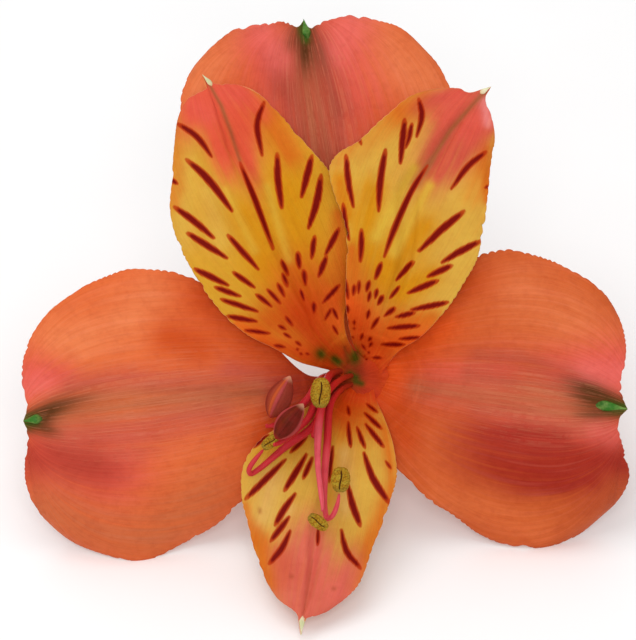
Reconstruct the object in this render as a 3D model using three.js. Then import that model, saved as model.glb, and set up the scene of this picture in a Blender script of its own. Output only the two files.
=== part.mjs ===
// A single open Peruvian lily bloom, picked with a short stub of its stalk and laid face up and forward
// on a flat surface. It rests on the cut end of the stalk and on the lower margins of the two side tepals.
//
// The bloom is drawn in its own frame and then tilted as one: u to the right and v up across the face,
// w out of the throat towards the viewer, with the top of the ovary at w = 0. Lengths are millimetres
// and angles are degrees unless a name says otherwise.

import * as THREE from 'three';

// Scale of the face view, in which the margins below are given, x to the right and y down
const FACE_UNIT = 0.116;
const THROAT = [362, 376];

// How the bloom lies on the surface
const FACE_ELEVATION = 38.2;
const FACE_ROLL = 0;

// Blade thickness, and how far claws, filaments and style stand off the ovary
const BLADE = 0.6;
const SEAT_GAP = 0.35;

// Shape shared by all the blades. The pairs are where along the blade, from 0 at the claw to 1 at the
// end, or how far from the axis, in millimetres, something starts and is complete.
const ROW_CROWDING = 1.3;
const COLUMN_CROWDING = 1.45;
const BOW_TO_STRAIGHT = [0.2, 0.7];
const END_GROWTH = 1.5;
const SPREAD = [8, 28];
const SWEEP_POWER = 2.2;
const LAP_ACROSS = [0.25, 0.9];
const LAP_FROM_AXIS = [4.5, 8.5];
const TIP_RISE = [0.45, 1.1];
const GROOVE_WIDTH = 0.14;
const GROOVE_FROM_AXIS = [5, 14];
const GROOVE_END = 0.25;
const WAVES = 2.7;
const WAVE_SHIFT = 2.1;

// The two whorls. A tepal leaves the ovary at the claw radius and then follows a trumpet: a steep throat
// that levels off into a flare. The half angle is how much of the ring each claw takes.
const OUTER = {
  clawRadius: 2.85, clawHalfAngle: 50, throatHeight: 9, throatReach: 1.5, flareHeight: 11, flareReach: 8,
  rows: 30, columns: 14, tooth: 0.11,
};
const INNER = {
  clawRadius: 1.95, clawHalfAngle: 48, throatHeight: 11, throatReach: 1.2, flareHeight: 14, flareReach: 14,
  rows: 28, columns: 12, tooth: 0.09,
};

// The six tepals. Each margin runs from the claw to the tip, left and right as seen when the tip points
// up. "shoulder" is how far along its length a margin stops being a side and becomes part of the end.
// "back" is how far a margin is swept back, "lift" how far it stands forward where it laps over or
// under its neighbour, "tipRise" how far the tip comes forward, "groove" the depth of the midrib and
// "lean" how far the midrib bows to the left of the middle.
const TEPALS = {
  outer_tepal_top: {
    whorl: OUTER, claw: 92, tip: [304, 20], shoulder: 0.74, colour: 0xdd6a45,
    left: [[332, 335], [308, 300], [275, 255], [235, 205], [202, 160], [184, 122], [183, 96], [190, 74],
      [201, 58], [216, 43], [237, 29], [262, 24], [284, 22], [298, 27]],
    right: [[378, 335], [390, 300], [408, 255], [428, 205], [444, 160], [452, 120], [449, 91], [439, 70],
      [424, 49], [402, 29], [378, 20], [352, 16], [328, 21], [310, 29]],
    back: [2.0, 2.0], lift: [0, 0], tipRise: -2.5, lean: 0, groove: 0.9, wave: 0.5,
  },
  outer_tepal_left: {
    whorl: OUTER, claw: 217, tip: [24, 421], shoulder: 0.74, colour: 0xdb6040,
    left: [[322, 412], [300, 438], [272, 470], [243, 500], [212, 527], [182, 544], [160, 555], [138, 560],
      [105, 554], [74, 541], [50, 521], [32, 498], [25, 474], [26, 452], [30, 437]],
    right: [[320, 377], [309, 376], [299, 370], [288, 360], [268, 338], [236, 305], [198, 280], [165, 271],
      [132, 270], [101, 279], [70, 295], [43, 319], [27, 348], [22, 378], [28, 406]],
    back: [7.5, 0.5], lift: [0, 0], tipRise: -1.0, lean: 0, groove: 0.8, wave: 0.5,
  },
  outer_tepal_right: {
    whorl: OUTER, claw: 333, tip: [627, 409], shoulder: 0.74, colour: 0xdb6040,
    left: [[404, 346], [426, 312], [452, 280], [478, 256], [502, 251], [526, 254], [552, 262], [580, 275],
      [603, 293], [618, 317], [626, 345], [623, 370], [620, 393]],
    right: [[376, 420], [384, 448], [394, 465], [409, 479], [430, 500], [460, 518], [482, 533], [510, 543],
      [545, 546], [576, 535], [602, 514], [619, 496], [627, 472], [622, 445], [618, 430], [619, 418]],
    back: [0.5, 9.1], lift: [0, 0], tipRise: -1.0, lean: -0.15, groove: 0.8, wave: 0.5,
  },
  inner_tepal_upper_left: {
    whorl: INNER, claw: 145, tip: [203, 76], shoulder: 0.86, colour: 0xd9a03a,
    left: [[332, 371], [318, 367], [300, 362], [278, 350], [243, 331], [215, 304], [196, 275], [180, 245],
      [171, 215], [173, 180], [175, 150], [179, 120], [188, 101], [207, 89]],
    right: [[347, 338], [344, 318], [349, 292], [349, 250], [342, 208], [328, 171], [304, 143], [280, 116],
      [259, 95], [238, 86], [214, 85]],
    back: [0.6, 0], lift: [0, -0.8], tipRise: 0.8, lean: -0.14, groove: 0.7, wave: 0.4,
  },
  inner_tepal_upper_right: {
    whorl: INNER, claw: 30, tip: [490, 88], shoulder: 0.86, colour: 0xd9a03a,
    left: [[355, 347], [350, 331], [346, 300], [347, 262], [345, 225], [336, 198], [330, 168], [338, 155],
      [358, 142], [385, 118], [412, 97], [440, 90], [458, 90], [468, 94], [480, 91]],
    right: [[398, 352], [420, 337], [443, 313], [464, 281], [478, 254], [485, 212], [489, 170], [494, 138],
      [490, 116], [484, 101]],
    back: [0, 0.6], lift: [0.8, 0], tipRise: 0.8, lean: 0.1, groove: 0.7, wave: 0.4,
  },
  inner_tepal_lower: {
    whorl: INNER, claw: 268, tip: [301, 633], shoulder: 0.86, colour: 0xd98a40,
    left: [[377, 402], [384, 418], [393, 445], [396, 472], [389, 503], [381, 526], [370, 552], [358, 583],
      [341, 600], [320, 613], [305, 617]],
    right: [[338, 392], [314, 404], [285, 421], [258, 443], [243, 470], [242, 496], [249, 525], [257, 554],
      [267, 580], [280, 599], [297, 612]],
    back: [1.2, 1.8], lift: [0, 0], tipRise: 2.5, lean: 0.15, groove: 0.7, wave: 0.4,
  },
};

// Ovary: a six-ribbed cup under the tepals, and the stub of the stalk that stands in its foot
const OVARY = {
  length: 9, topRadius: 3.35, rimRound: 0.25, waist: 3.4, footRadius: 2.0, ribs: 6, ribDepth: 0.22,
  sides: 36,
};
const STALK = { radius: 1.15, length: 4.0, socket: 0.5, clearance: 0.3, bend: 0.5, sides: 12 };

// Stamens round the style. Each filament rises from its place in the ring and ends just short of its
// anther. The way points are in the bloom's frame.
const RING_RADIUS = 1.05;
const FILAMENT = { footRadius: 0.3, bellyRadius: 0.4, tipRadius: 0.3, rings: 18, sides: 7 };
const STAMENS = [
  { name: '1', foot: 90, way: [[-1.1, 0.75, 8], [-3.5, 0.25, 13], [-4.2, -0.9, 18.5], [-4.7, -2.1, 22.3]],
    anther: { at: [-4.8, -1.9, 24], along: [0.05, 1, 0.12], length: 3.5, width: 2.3, open: true } },
  { name: '2', foot: 330, way: [[-0.2, -0.8, 8], [-2.4, -1.55, 13], [-3.7, -3.5, 17], [-4, -7.6, 20.2],
    [-4.3, -11.2, 22.2], [-4.3, -15.4, 23.9], [-4, -16.4, 24.6], [-3.4, -16, 25.4], [-2.9, -14.8, 25.8],
    [-2.7, -13.8, 26]],
    anther: { at: [-2.5, -11.9, 26.3], along: [0.05, 1, 0.1], length: 2.9, width: 2.2, open: true } },
  { name: '3', foot: 30, way: [[-0.2, 0.2, 8], [-2.4, -0.4, 13], [-4.3, -2.4, 18.2], [-5, -6, 21],
    [-5.1, -10.2, 23.4], [-4.6, -15.3, 25.2]],
    anther: { at: [-5.1, -16.8, 25.9], along: [1, -0.75, 0], length: 2.6, width: 1.5, open: true } },
  { name: '4', foot: 150, way: [[-1.95, 0.15, 8], [-4.7, -0.3, 13], [-6.4, -2.75, 17.4], [-9.5, -5.4, 19.6],
    [-11.1, -5.8, 20.3]],
    anther: { at: [-9.5, -2.4, 21], along: [0.44, 0.9, 0.05], length: 5.4, width: 3, open: false } },
  { name: '5', foot: 210, way: [[-2, -0.75, 8], [-4.75, -1.55, 13.4], [-6.3, -5, 19], [-9.2, -7.5, 22.7],
    [-10.2, -7.9, 23.8]],
    anther: { at: [-8.4, -5.2, 24.6], along: [0.62, 0.78, 0.05], length: 5.2, width: 2.9, open: false } },
  { name: '6', foot: 270, way: [[-1.1, -1.35, 8], [-3.4, -2.3, 13.7], [-4.5, -3.7, 16.2], [-5.8, -5.9, 18.4],
    [-9, -8.3, 20], [-12, -10.8, 21.2], [-12.9, -11.3, 21.7], [-13.1, -10.8, 22.3], [-12.6, -9.9, 22.5],
    [-11.6, -8.7, 22.3]],
    anther: { at: [-10.6, -7.6, 22], along: [0.8, 0.6, 0], length: 2.3, width: 1.4, open: true } },
];
const STYLE = {
  way: [[-1.1, -0.3, 8], [-3.5, -0.95, 13], [-4.7, -3.2, 17.4], [-5.3, -5.5, 19.6], [-5.6, -7.2, 20.6]],
  radius: 0.3, rings: 18, sides: 8,
};

// Anthers: rings along and points round each body, how deep the slit of an open one and the furrows of a
// closed one run, and how much a closed one bows forward
const ANTHER = { rings: 9, sides: 12, slit: 0.3, slitWidth: 0.45, furrow: 0.1, bow: 0.35, depth: 0.85 };

const clamp01 = (x) => Math.min(1, Math.max(0, x));
const ease = (x, from, to) => {
  const k = clamp01((x - from) / (to - from));
  return k * k * (3 - 2 * k);
};
const mix = (a, b, k) => a + (b - a) * k;
const rad = (deg) => (deg * Math.PI) / 180;
const toVector = (p) => new THREE.Vector3(...p);

// A point of the face view as u and v about the throat
function face([x, y]) {
  return new THREE.Vector3((x - THROAT[0]) * FACE_UNIT, (THROAT[1] - y) * FACE_UNIT, 0);
}

function onRing(radius, deg, w) {
  return new THREE.Vector3(radius * Math.cos(rad(deg)), radius * Math.sin(rad(deg)), w);
}

// A closed solid from vertices and triangles
function solid(name, points, faces, colour) {
  const geometry = new THREE.BufferGeometry();
  geometry.setAttribute('position', new THREE.Float32BufferAttribute(points.flatMap((p) => p.toArray()), 3));
  geometry.setIndex(faces);
  geometry.computeVertexNormals();
  const mesh = new THREE.Mesh(geometry, new THREE.MeshStandardMaterial({ color: colour, roughness: 0.6 }));
  mesh.name = name;
  return mesh;
}

// Rings of equal point counts joined into one closed skin, with a point to close each end
function skin(name, rings, start, end, colour) {
  const sides = rings[0].length;
  const points = [...rings.flat(), start, end];
  const faces = [];
  for (let r = 0; r + 1 < rings.length; r += 1) {
    for (let i = 0; i < sides; i += 1) {
      const j = (i + 1) % sides;
      const [a, b, c, d] = [r * sides + i, r * sides + j, (r + 1) * sides + j, (r + 1) * sides + i];
      faces.push(a, b, c, a, c, d);
    }
  }
  const last = (rings.length - 1) * sides;
  for (let i = 0; i < sides; i += 1) {
    const j = (i + 1) % sides;
    faces.push(points.length - 2, j, i);
    faces.push(points.length - 1, last + i, last + j);
  }
  return solid(name, points, faces, colour);
}

// Depth of the trumpet at a distance from the axis
function trumpet(whorl, radius) {
  const out = Math.max(0, radius - whorl.clawRadius);
  return whorl.throatHeight * (1 - Math.exp(-out / whorl.throatReach))
    + whorl.flareHeight * (1 - Math.exp(-out / whorl.flareReach));
}

// One margin of a tepal, from the side of its claw to the tip
function marginCurve(tepal, side) {
  const sign = side === 'left' ? 1 : -1;
  const claw = onRing(tepal.whorl.clawRadius, tepal.claw + sign * tepal.whorl.clawHalfAngle, 0);
  const points = [claw, ...tepal[side].map(face), face(tepal.tip)];
  return new THREE.CatmullRomCurve3(points, false, 'centripetal');
}

// The middle of the blade at s from claw to end and a from -1 on the right margin to 1 on the left.
// A row spans the two sides, bowed round the throat near the claw, and takes up the shape of the end.
function bladePoint(tepal, curves, s, a) {
  const { shoulder } = tepal;
  const sides = [curves.right, curves.left];
  const k = (a + 1) / 2;
  const [right, left] = sides.map((curve) => curve.getPointAt(s * shoulder));
  const [endRight, endLeft] = sides.map((curve) => curve.getPointAt(shoulder));
  const end = sides[a > 0 ? 1 : 0].getPointAt(1 - (1 - shoulder) * Math.abs(a));
  const axis = onRing(1, tepal.claw, 0);
  const turnTo = (m) => Math.atan2(axis.x * m.y - axis.y * m.x, axis.x * m.x + axis.y * m.y);
  const angle = mix(turnTo(right), turnTo(left), k) + rad(tepal.claw);
  const reach = mix(right.length(), left.length(), k);
  const bowed = new THREE.Vector3(reach * Math.cos(angle), reach * Math.sin(angle), 0);
  const p = bowed.lerp(right.lerp(left, k), ease(s, ...BOW_TO_STRAIGHT));
  p.addScaledVector(end.sub(endRight.lerp(endLeft, k)), s ** END_GROWTH);

  const radius = p.length();
  const side = a > 0 ? 0 : 1;
  const out = Math.abs(a);
  const spread = ease(radius, ...SPREAD);
  const offRib = (a - tepal.lean * 4 * s * (1 - s)) / GROOVE_WIDTH;
  const groove = Math.exp(-offRib * offRib) * ease(radius, ...GROOVE_FROM_AXIS) * ease(1 - s, 0, GROOVE_END);
  const wave = Math.sin(2 * Math.PI * WAVES * s + side * WAVE_SHIFT) * out ** 3;
  p.z = SEAT_GAP + trumpet(tepal.whorl, radius)
    - tepal.back[side] * out ** SWEEP_POWER * spread
    + tepal.lift[side] * ease(out, ...LAP_ACROSS) * ease(radius, ...LAP_FROM_AXIS)
    + tepal.tipRise * ease(s, ...TIP_RISE) ** 1.5
    - tepal.groove * groove
    + tepal.wave * wave * spread;
  return p;
}

// Fine teeth: every second point of the margin is pushed out and the others drawn in
function toothMargin(grid, tooth) {
  const rows = grid.length - 1;
  const columns = grid[0].length - 1;
  const push = (p, inner, out) => p.addScaledVector(p.clone().sub(inner).normalize(), out);
  for (let r = Math.round(rows / 3); r < rows; r += 1) {
    const out = r % 2 ? tooth : -tooth;
    push(grid[r][0], grid[r][1], out);
    push(grid[r][columns], grid[r][columns - 1], out);
  }
  for (let c = 1; c < columns; c += 1) {
    if (Math.abs(c - columns / 2) > 1) {
      push(grid[rows][c], grid[rows - 1][c], c % 2 ? tooth : -tooth);
    }
  }
}

function buildTepal(name, tepal) {
  const { rows, columns, tooth } = tepal.whorl;
  const curves = { left: marginCurve(tepal, 'left'), right: marginCurve(tepal, 'right') };
  const grid = [];
  for (let r = 0; r <= rows; r += 1) {
    grid.push([]);
    for (let c = 0; c <= columns; c += 1) {
      const s = (r / rows) ** ROW_CROWDING;
      const x = (2 * c) / columns - 1;
      grid[r].push(bladePoint(tepal, curves, s, Math.sign(x) * Math.abs(x) ** COLUMN_CROWDING));
    }
  }
  toothMargin(grid, tooth);
  const normalAt = (row, c) => {
    const r = Math.min(row, rows - 2);
    const along = grid[r + 1][c].clone().sub(grid[Math.max(0, r - 1)][c]);
    const across = grid[r][Math.min(columns, c + 1)].clone().sub(grid[r][Math.max(0, c - 1)]);
    return along.cross(across).normalize();
  };
  const points = [];
  for (const sign of [1, -1]) {
    for (let r = 0; r <= rows; r += 1) {
      for (let c = 0; c <= columns; c += 1) {
        const n = normalAt(r, c);
        points.push(grid[r][c].clone().addScaledVector(n, (sign * BLADE) / 2));
      }
    }
  }
  const at = (r, c) => r * (columns + 1) + c;
  const under = (rows + 1) * (columns + 1);
  const faces = [];
  for (let r = 0; r < rows; r += 1) {
    for (let c = 0; c < columns; c += 1) {
      const [p, q, m, n] = [at(r, c), at(r, c + 1), at(r + 1, c + 1), at(r + 1, c)];
      faces.push(p, m, q, p, n, m);
      faces.push(under + p, under + q, under + m, under + p, under + m, under + n);
    }
  }
  const rim = [];
  for (let c = 0; c < columns; c += 1) rim.push(at(0, c));
  for (let r = 0; r < rows; r += 1) rim.push(at(r, columns));
  for (let c = columns; c > 0; c -= 1) rim.push(at(rows, c));
  for (let r = rows; r > 0; r -= 1) rim.push(at(r, 0));
  rim.forEach((p, i) => {
    const q = rim[(i + 1) % rim.length];
    faces.push(p, q, under + q, p, under + q, under + p);
  });
  return solid(name, points, faces, tepal.colour);
}

// A round stem along a smooth path, its radius given along the way, with domed ends
function stem(name, path, radiusAt, rings, sides, colour) {
  const curve = new THREE.CatmullRomCurve3(path, false, 'centripetal');
  const frames = curve.computeFrenetFrames(rings, false);
  const circles = [];
  for (let r = 0; r <= rings; r += 1) {
    const x = r / rings;
    const centre = curve.getPointAt(x);
    circles.push([]);
    for (let i = 0; i < sides; i += 1) {
      const turn = (2 * Math.PI * i) / sides;
      circles[r].push(centre.clone()
        .addScaledVector(frames.normals[r], radiusAt(x) * Math.cos(turn))
        .addScaledVector(frames.binormals[r], radiusAt(x) * Math.sin(turn)));
    }
  }
  return skin(name, circles, path[0], path.at(-1), colour);
}

function buildFilament(stamen) {
  const path = [onRing(RING_RADIUS, stamen.foot, SEAT_GAP), ...stamen.way.map(toVector)];
  const { footRadius, bellyRadius, tipRadius, rings, sides } = FILAMENT;
  const radiusAt = (x) => mix(mix(footRadius, bellyRadius, ease(x, 0.3, 0.6)), tipRadius, ease(x, 0.65, 1));
  return stem(`filament_${stamen.name}`, path, radiusAt, rings, sides, 0xc8324a);
}

// An anther: an oval body along its own line. An open one has two plump halves with a slit between them,
// a closed one is long and four-lobed and narrows to a tip.
function buildAnther(stamen) {
  const { at, along, length, width, open } = stamen.anther;
  const { rings, sides, slit, slitWidth, furrow, bow, depth } = ANTHER;
  const line = toVector(along).normalize();
  const across = new THREE.Vector3(0, 0, 1).cross(line).normalize();
  const front = line.clone().cross(across);
  const place = (x) => toVector(at).addScaledVector(line, (x - 0.5) * length);
  const circles = [];
  for (let r = 1; r < rings; r += 1) {
    const x = r / rings;
    const arch = Math.sin(Math.PI * x);
    const swell = open ? arch ** 0.6 : arch ** 0.7 * (1.12 - 0.3 * x);
    const middle = place(x).addScaledVector(front, open ? 0 : bow * arch);
    circles.push([]);
    for (let i = 0; i < sides; i += 1) {
      const turn = (2 * Math.PI * i) / sides;
      const offSlit = (turn - Math.PI / 2) / slitWidth;
      const dent = open ? slit * Math.exp(-offSlit * offSlit) : furrow * (1 + Math.cos(4 * turn)) / 2;
      const size = (width / 2) * swell * (1 - dent);
      circles[r - 1].push(middle.clone()
        .addScaledVector(across, size * Math.cos(turn))
        .addScaledVector(front, size * depth * Math.sin(turn)));
    }
  }
  return skin(`anther_${stamen.name}`, circles, place(0), place(1), open ? 0x9b7d1e : 0x7a2a2e);
}

// The ovary: a ribbed cup, its profile given as radius, height and how much of the ribs shows there
function buildOvary() {
  const { length, topRadius, rimRound, waist, footRadius, ribs, ribDepth, sides } = OVARY;
  const socketRadius = STALK.radius + STALK.clearance;
  const profile = [
    [topRadius - rimRound, 0, 0],
    [topRadius, -rimRound, 0.3],
    [waist, -length * 0.25, 1],
    [waist * 0.97, -length * 0.5, 1],
    [waist * 0.82, -length * 0.75, 1],
    [mix(waist, footRadius, 0.7), -length * 0.92, 0.7],
    [footRadius, -length, 0.2],
    [socketRadius, -length, 0],
    [socketRadius, -length + STALK.socket, 0],
  ];
  const circles = profile.map(([radius, w, ribbed]) => {
    const circle = [];
    for (let i = 0; i < sides; i += 1) {
      const deg = (-360 * i) / sides;
      const rib = ribDepth * ribbed * Math.cos(rad(ribs * deg));
      circle.push(onRing(radius + rib, deg, w));
    }
    return circle;
  });
  const top = new THREE.Vector3(0, 0, 0);
  const socketFloor = new THREE.Vector3(0, 0, -length + STALK.socket);
  return skin('ovary', circles, top, socketFloor, 0x5f8a3c);
}

function buildPedicel() {
  const top = -OVARY.length + STALK.socket - STALK.clearance;
  const path = [new THREE.Vector3(0, 0, top), new THREE.Vector3(0, 0, top - STALK.length / 3),
    new THREE.Vector3(0, -STALK.bend, top - STALK.length)];
  return stem('pedicel', path, () => STALK.radius, 4, STALK.sides, 0x6d8f45);
}

function buildStyle() {
  const path = [new THREE.Vector3(0, 0, SEAT_GAP), ...STYLE.way.map(toVector)];
  const radiusAt = (x) => STYLE.radius * (1 + 0.25 * ease(x, 0.9, 1));
  return stem('style', path, radiusAt, STYLE.rings, STYLE.sides, 0xb02840);
}

const bloom = new THREE.Group();
bloom.name = 'bloom';
for (const [name, tepal] of Object.entries(TEPALS)) {
  bloom.add(buildTepal(name, tepal));
}
bloom.add(buildOvary());
bloom.add(buildPedicel());
bloom.add(buildStyle());
for (const stamen of STAMENS) {
  bloom.add(buildFilament(stamen));
  bloom.add(buildAnther(stamen));
}

// Lay the bloom down: the face looks up at its elevation, the low points touch the surface, and the
// middle of the box stands over the origin
bloom.rotation.set(rad(90 - FACE_ELEVATION), 0, rad(FACE_ROLL));
bloom.updateMatrixWorld(true);
const box = new THREE.Box3().setFromObject(bloom, true);
const middleOfBox = box.getCenter(new THREE.Vector3());
bloom.position.set(-middleOfBox.x, -middleOfBox.y, -box.min.z);

const part = new THREE.Group();
part.name = 'peruvian_lily_bloom';
part.add(bloom);

export default part;
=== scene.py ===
# The looks of a single Peruvian lily bloom, picked and laid on a pale surface.
#
# Each packed solid is replaced by a finer piece of the same form. The bloom is drawn in its own frame, as
# in the part's source: u to the right and v up across the face, w out of the throat towards the viewer,
# with the top of the ovary at w = 0. Lengths are millimetres until a mesh is made, which is in metres.

import math

import bpy
import numpy as np
from mathutils import Matrix


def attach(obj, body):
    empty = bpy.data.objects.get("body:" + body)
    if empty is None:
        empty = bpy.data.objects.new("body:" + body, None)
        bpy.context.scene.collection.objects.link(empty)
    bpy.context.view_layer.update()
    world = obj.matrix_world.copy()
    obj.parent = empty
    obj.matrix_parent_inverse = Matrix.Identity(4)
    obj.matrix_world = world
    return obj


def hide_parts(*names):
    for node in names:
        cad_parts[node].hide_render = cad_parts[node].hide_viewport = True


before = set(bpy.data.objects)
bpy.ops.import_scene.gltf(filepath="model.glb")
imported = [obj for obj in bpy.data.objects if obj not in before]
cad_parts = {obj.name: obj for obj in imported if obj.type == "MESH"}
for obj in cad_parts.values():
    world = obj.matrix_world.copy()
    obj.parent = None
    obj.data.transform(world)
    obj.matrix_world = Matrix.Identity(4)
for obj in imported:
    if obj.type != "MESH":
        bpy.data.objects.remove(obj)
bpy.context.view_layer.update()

bl_info = {
    "name": "Peruvian lily bloom",
    "version": (1, 0, 0),
    "blender": (4, 5, 0),
    "location": "View3D > Sidebar > Bloom",
    "description": "Builds a Peruvian lily bloom piece by piece round its packed solids",
    "category": "Add Mesh",
}

BODY = "root"

# The face view, in which margins, streaks and tints are given, x to the right and y down: the length of
# one of its units, where the throat, the middle of the view and its height are, and how far out of the
# throat the camera aims
FACE_UNIT = 0.116
THROAT = (362, 376)
FACE_CENTRE = (318, 320)
FACE_HEIGHT = 640
FACE_DEPTH = 18.0

# How the bloom lies: the elevation that its face looks up at, and where its origin stands in the frame
FACE_ELEVATION = math.radians(38.2)
STANDS_AT = np.array([4.380550, 13.328349, 9.092421])

# Shape shared by all the blades: how a blade leaves the ovary and straightens on its way to the tip, in
# shares of its length
SEAT_GAP = 0.35
SEATED = 0.04
BOW_TO_STRAIGHT = (0.2, 0.7)
END_GROWTH = 1.5
# How its sides sweep back and lap over each other, by the distance from the axis and the share of the
# half width, and where its tip rises
SPREAD = (8, 28)
SWEEP_POWER = 2.2
LAP_ACROSS = (0.25, 0.9)
LAP_FROM_AXIS = (4.5, 8.5)
TIP_RISE = (0.45, 1.1)
TIP_RISE_POWER = 1.5
# The groove of its midrib, and the waves of its sides
GROOVE_WIDTH = 0.14
GROOVE_FROM_AXIS = (5, 14)
GROOVE_END = 0.25
WAVES = 2.7
WAVE_SHIFT = 2.1
WAVE_POWER = 3
# How its points are spaced, which part of its rim has teeth, how it thins towards the rim, and the lip that
# joins front and back
BLADE = {
    "row_power": 1.1, "column_power": 0.9, "toothed_from": (0.25, 0.4), "toothed_off_tip": (0.5, 1.5),
    "beside_push": 0.45, "rim_across": 0.16, "rim_along": 0.07, "relief_behind": 0.6, "lip": 0.35,
    "lip_side": 0.6, "streaks_behind": 0.8,
}
# Veins part from the throat and close at the tip
VEINS = {"swell": 1.9, "parting": 0.75, "closing": 0.45, "least": 0.02}
# Fine ribs on all blades, a swelling at both sides of an inner midrib, and a band of ribs on the outer ones
RELIEF = {
    "ribs": (9.3, 14.1), "open_part": (4, 12), "beside_rib": 0.2, "beside_width": 0.07, "beside_height": 0.22,
    "beside_end": (0.02, 0.4), "inner_height": 0.012, "band_width": 0.5, "band_end": 0.2,
    "outer_height": 0.03, "outer_least": 0.3,
}
# Teeth drift along the rim, so that no two are alike. Waves are given as ripples() takes them.
TEETH = {
    "drift": ((0.8, 2.3, 1), (0.35, 1.1, 0)), "first": 1.2, "least": 0.25, "roundness": 0.7, "level": 0.6,
    "ripple": 0.4, "ripples": ((0.6, 1.9, 0), (0.4, 0.83, 1)), "bites": 14, "bite_width": 0.5,
    "bite_depth": 0.22,
}
# Streaks taper to both ends and have a soft border, in units of the face view. At the end away from the
# throat they stay red, over a share of their length.
STREAK = {
    "bent_points": 12, "swell_place": 0.85, "swell_power": 0.7, "end_width": 0.35, "border": 6,
    "red_peak": 0.53, "red_share": 0.35,
}

# The two whorls: the ring that their claws stand on, how high and how steeply their blades rise from it,
# how finely they are built, and the looks of their skin
OUTER = {
    "name": "outer", "claw_radius": 2.85, "claw_half_angle": 50, "throat_height": 9, "throat_reach": 1.5,
    "flare_height": 11, "flare_reach": 8, "rows": 200, "columns": 120, "red_to": 7.0, "fibres": 26.0,
    "fibre_strength": 0.13, "fibre_colour": "coral fibre", "mottle_strength": 0.22,
    "back_colour": "coral back", "point": "leaf point",
}
INNER = {
    "name": "inner", "claw_radius": 1.95, "claw_half_angle": 48, "throat_height": 11, "throat_reach": 1.2,
    "flare_height": 14, "flare_reach": 14, "rows": 260, "columns": 116, "red_to": 5.6, "fibres": 22.0,
    "fibre_strength": 0.1, "fibre_colour": "yellow fibre", "mottle_strength": 0.12,
    "back_colour": "yellow back", "point": "pale point",
}

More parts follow.
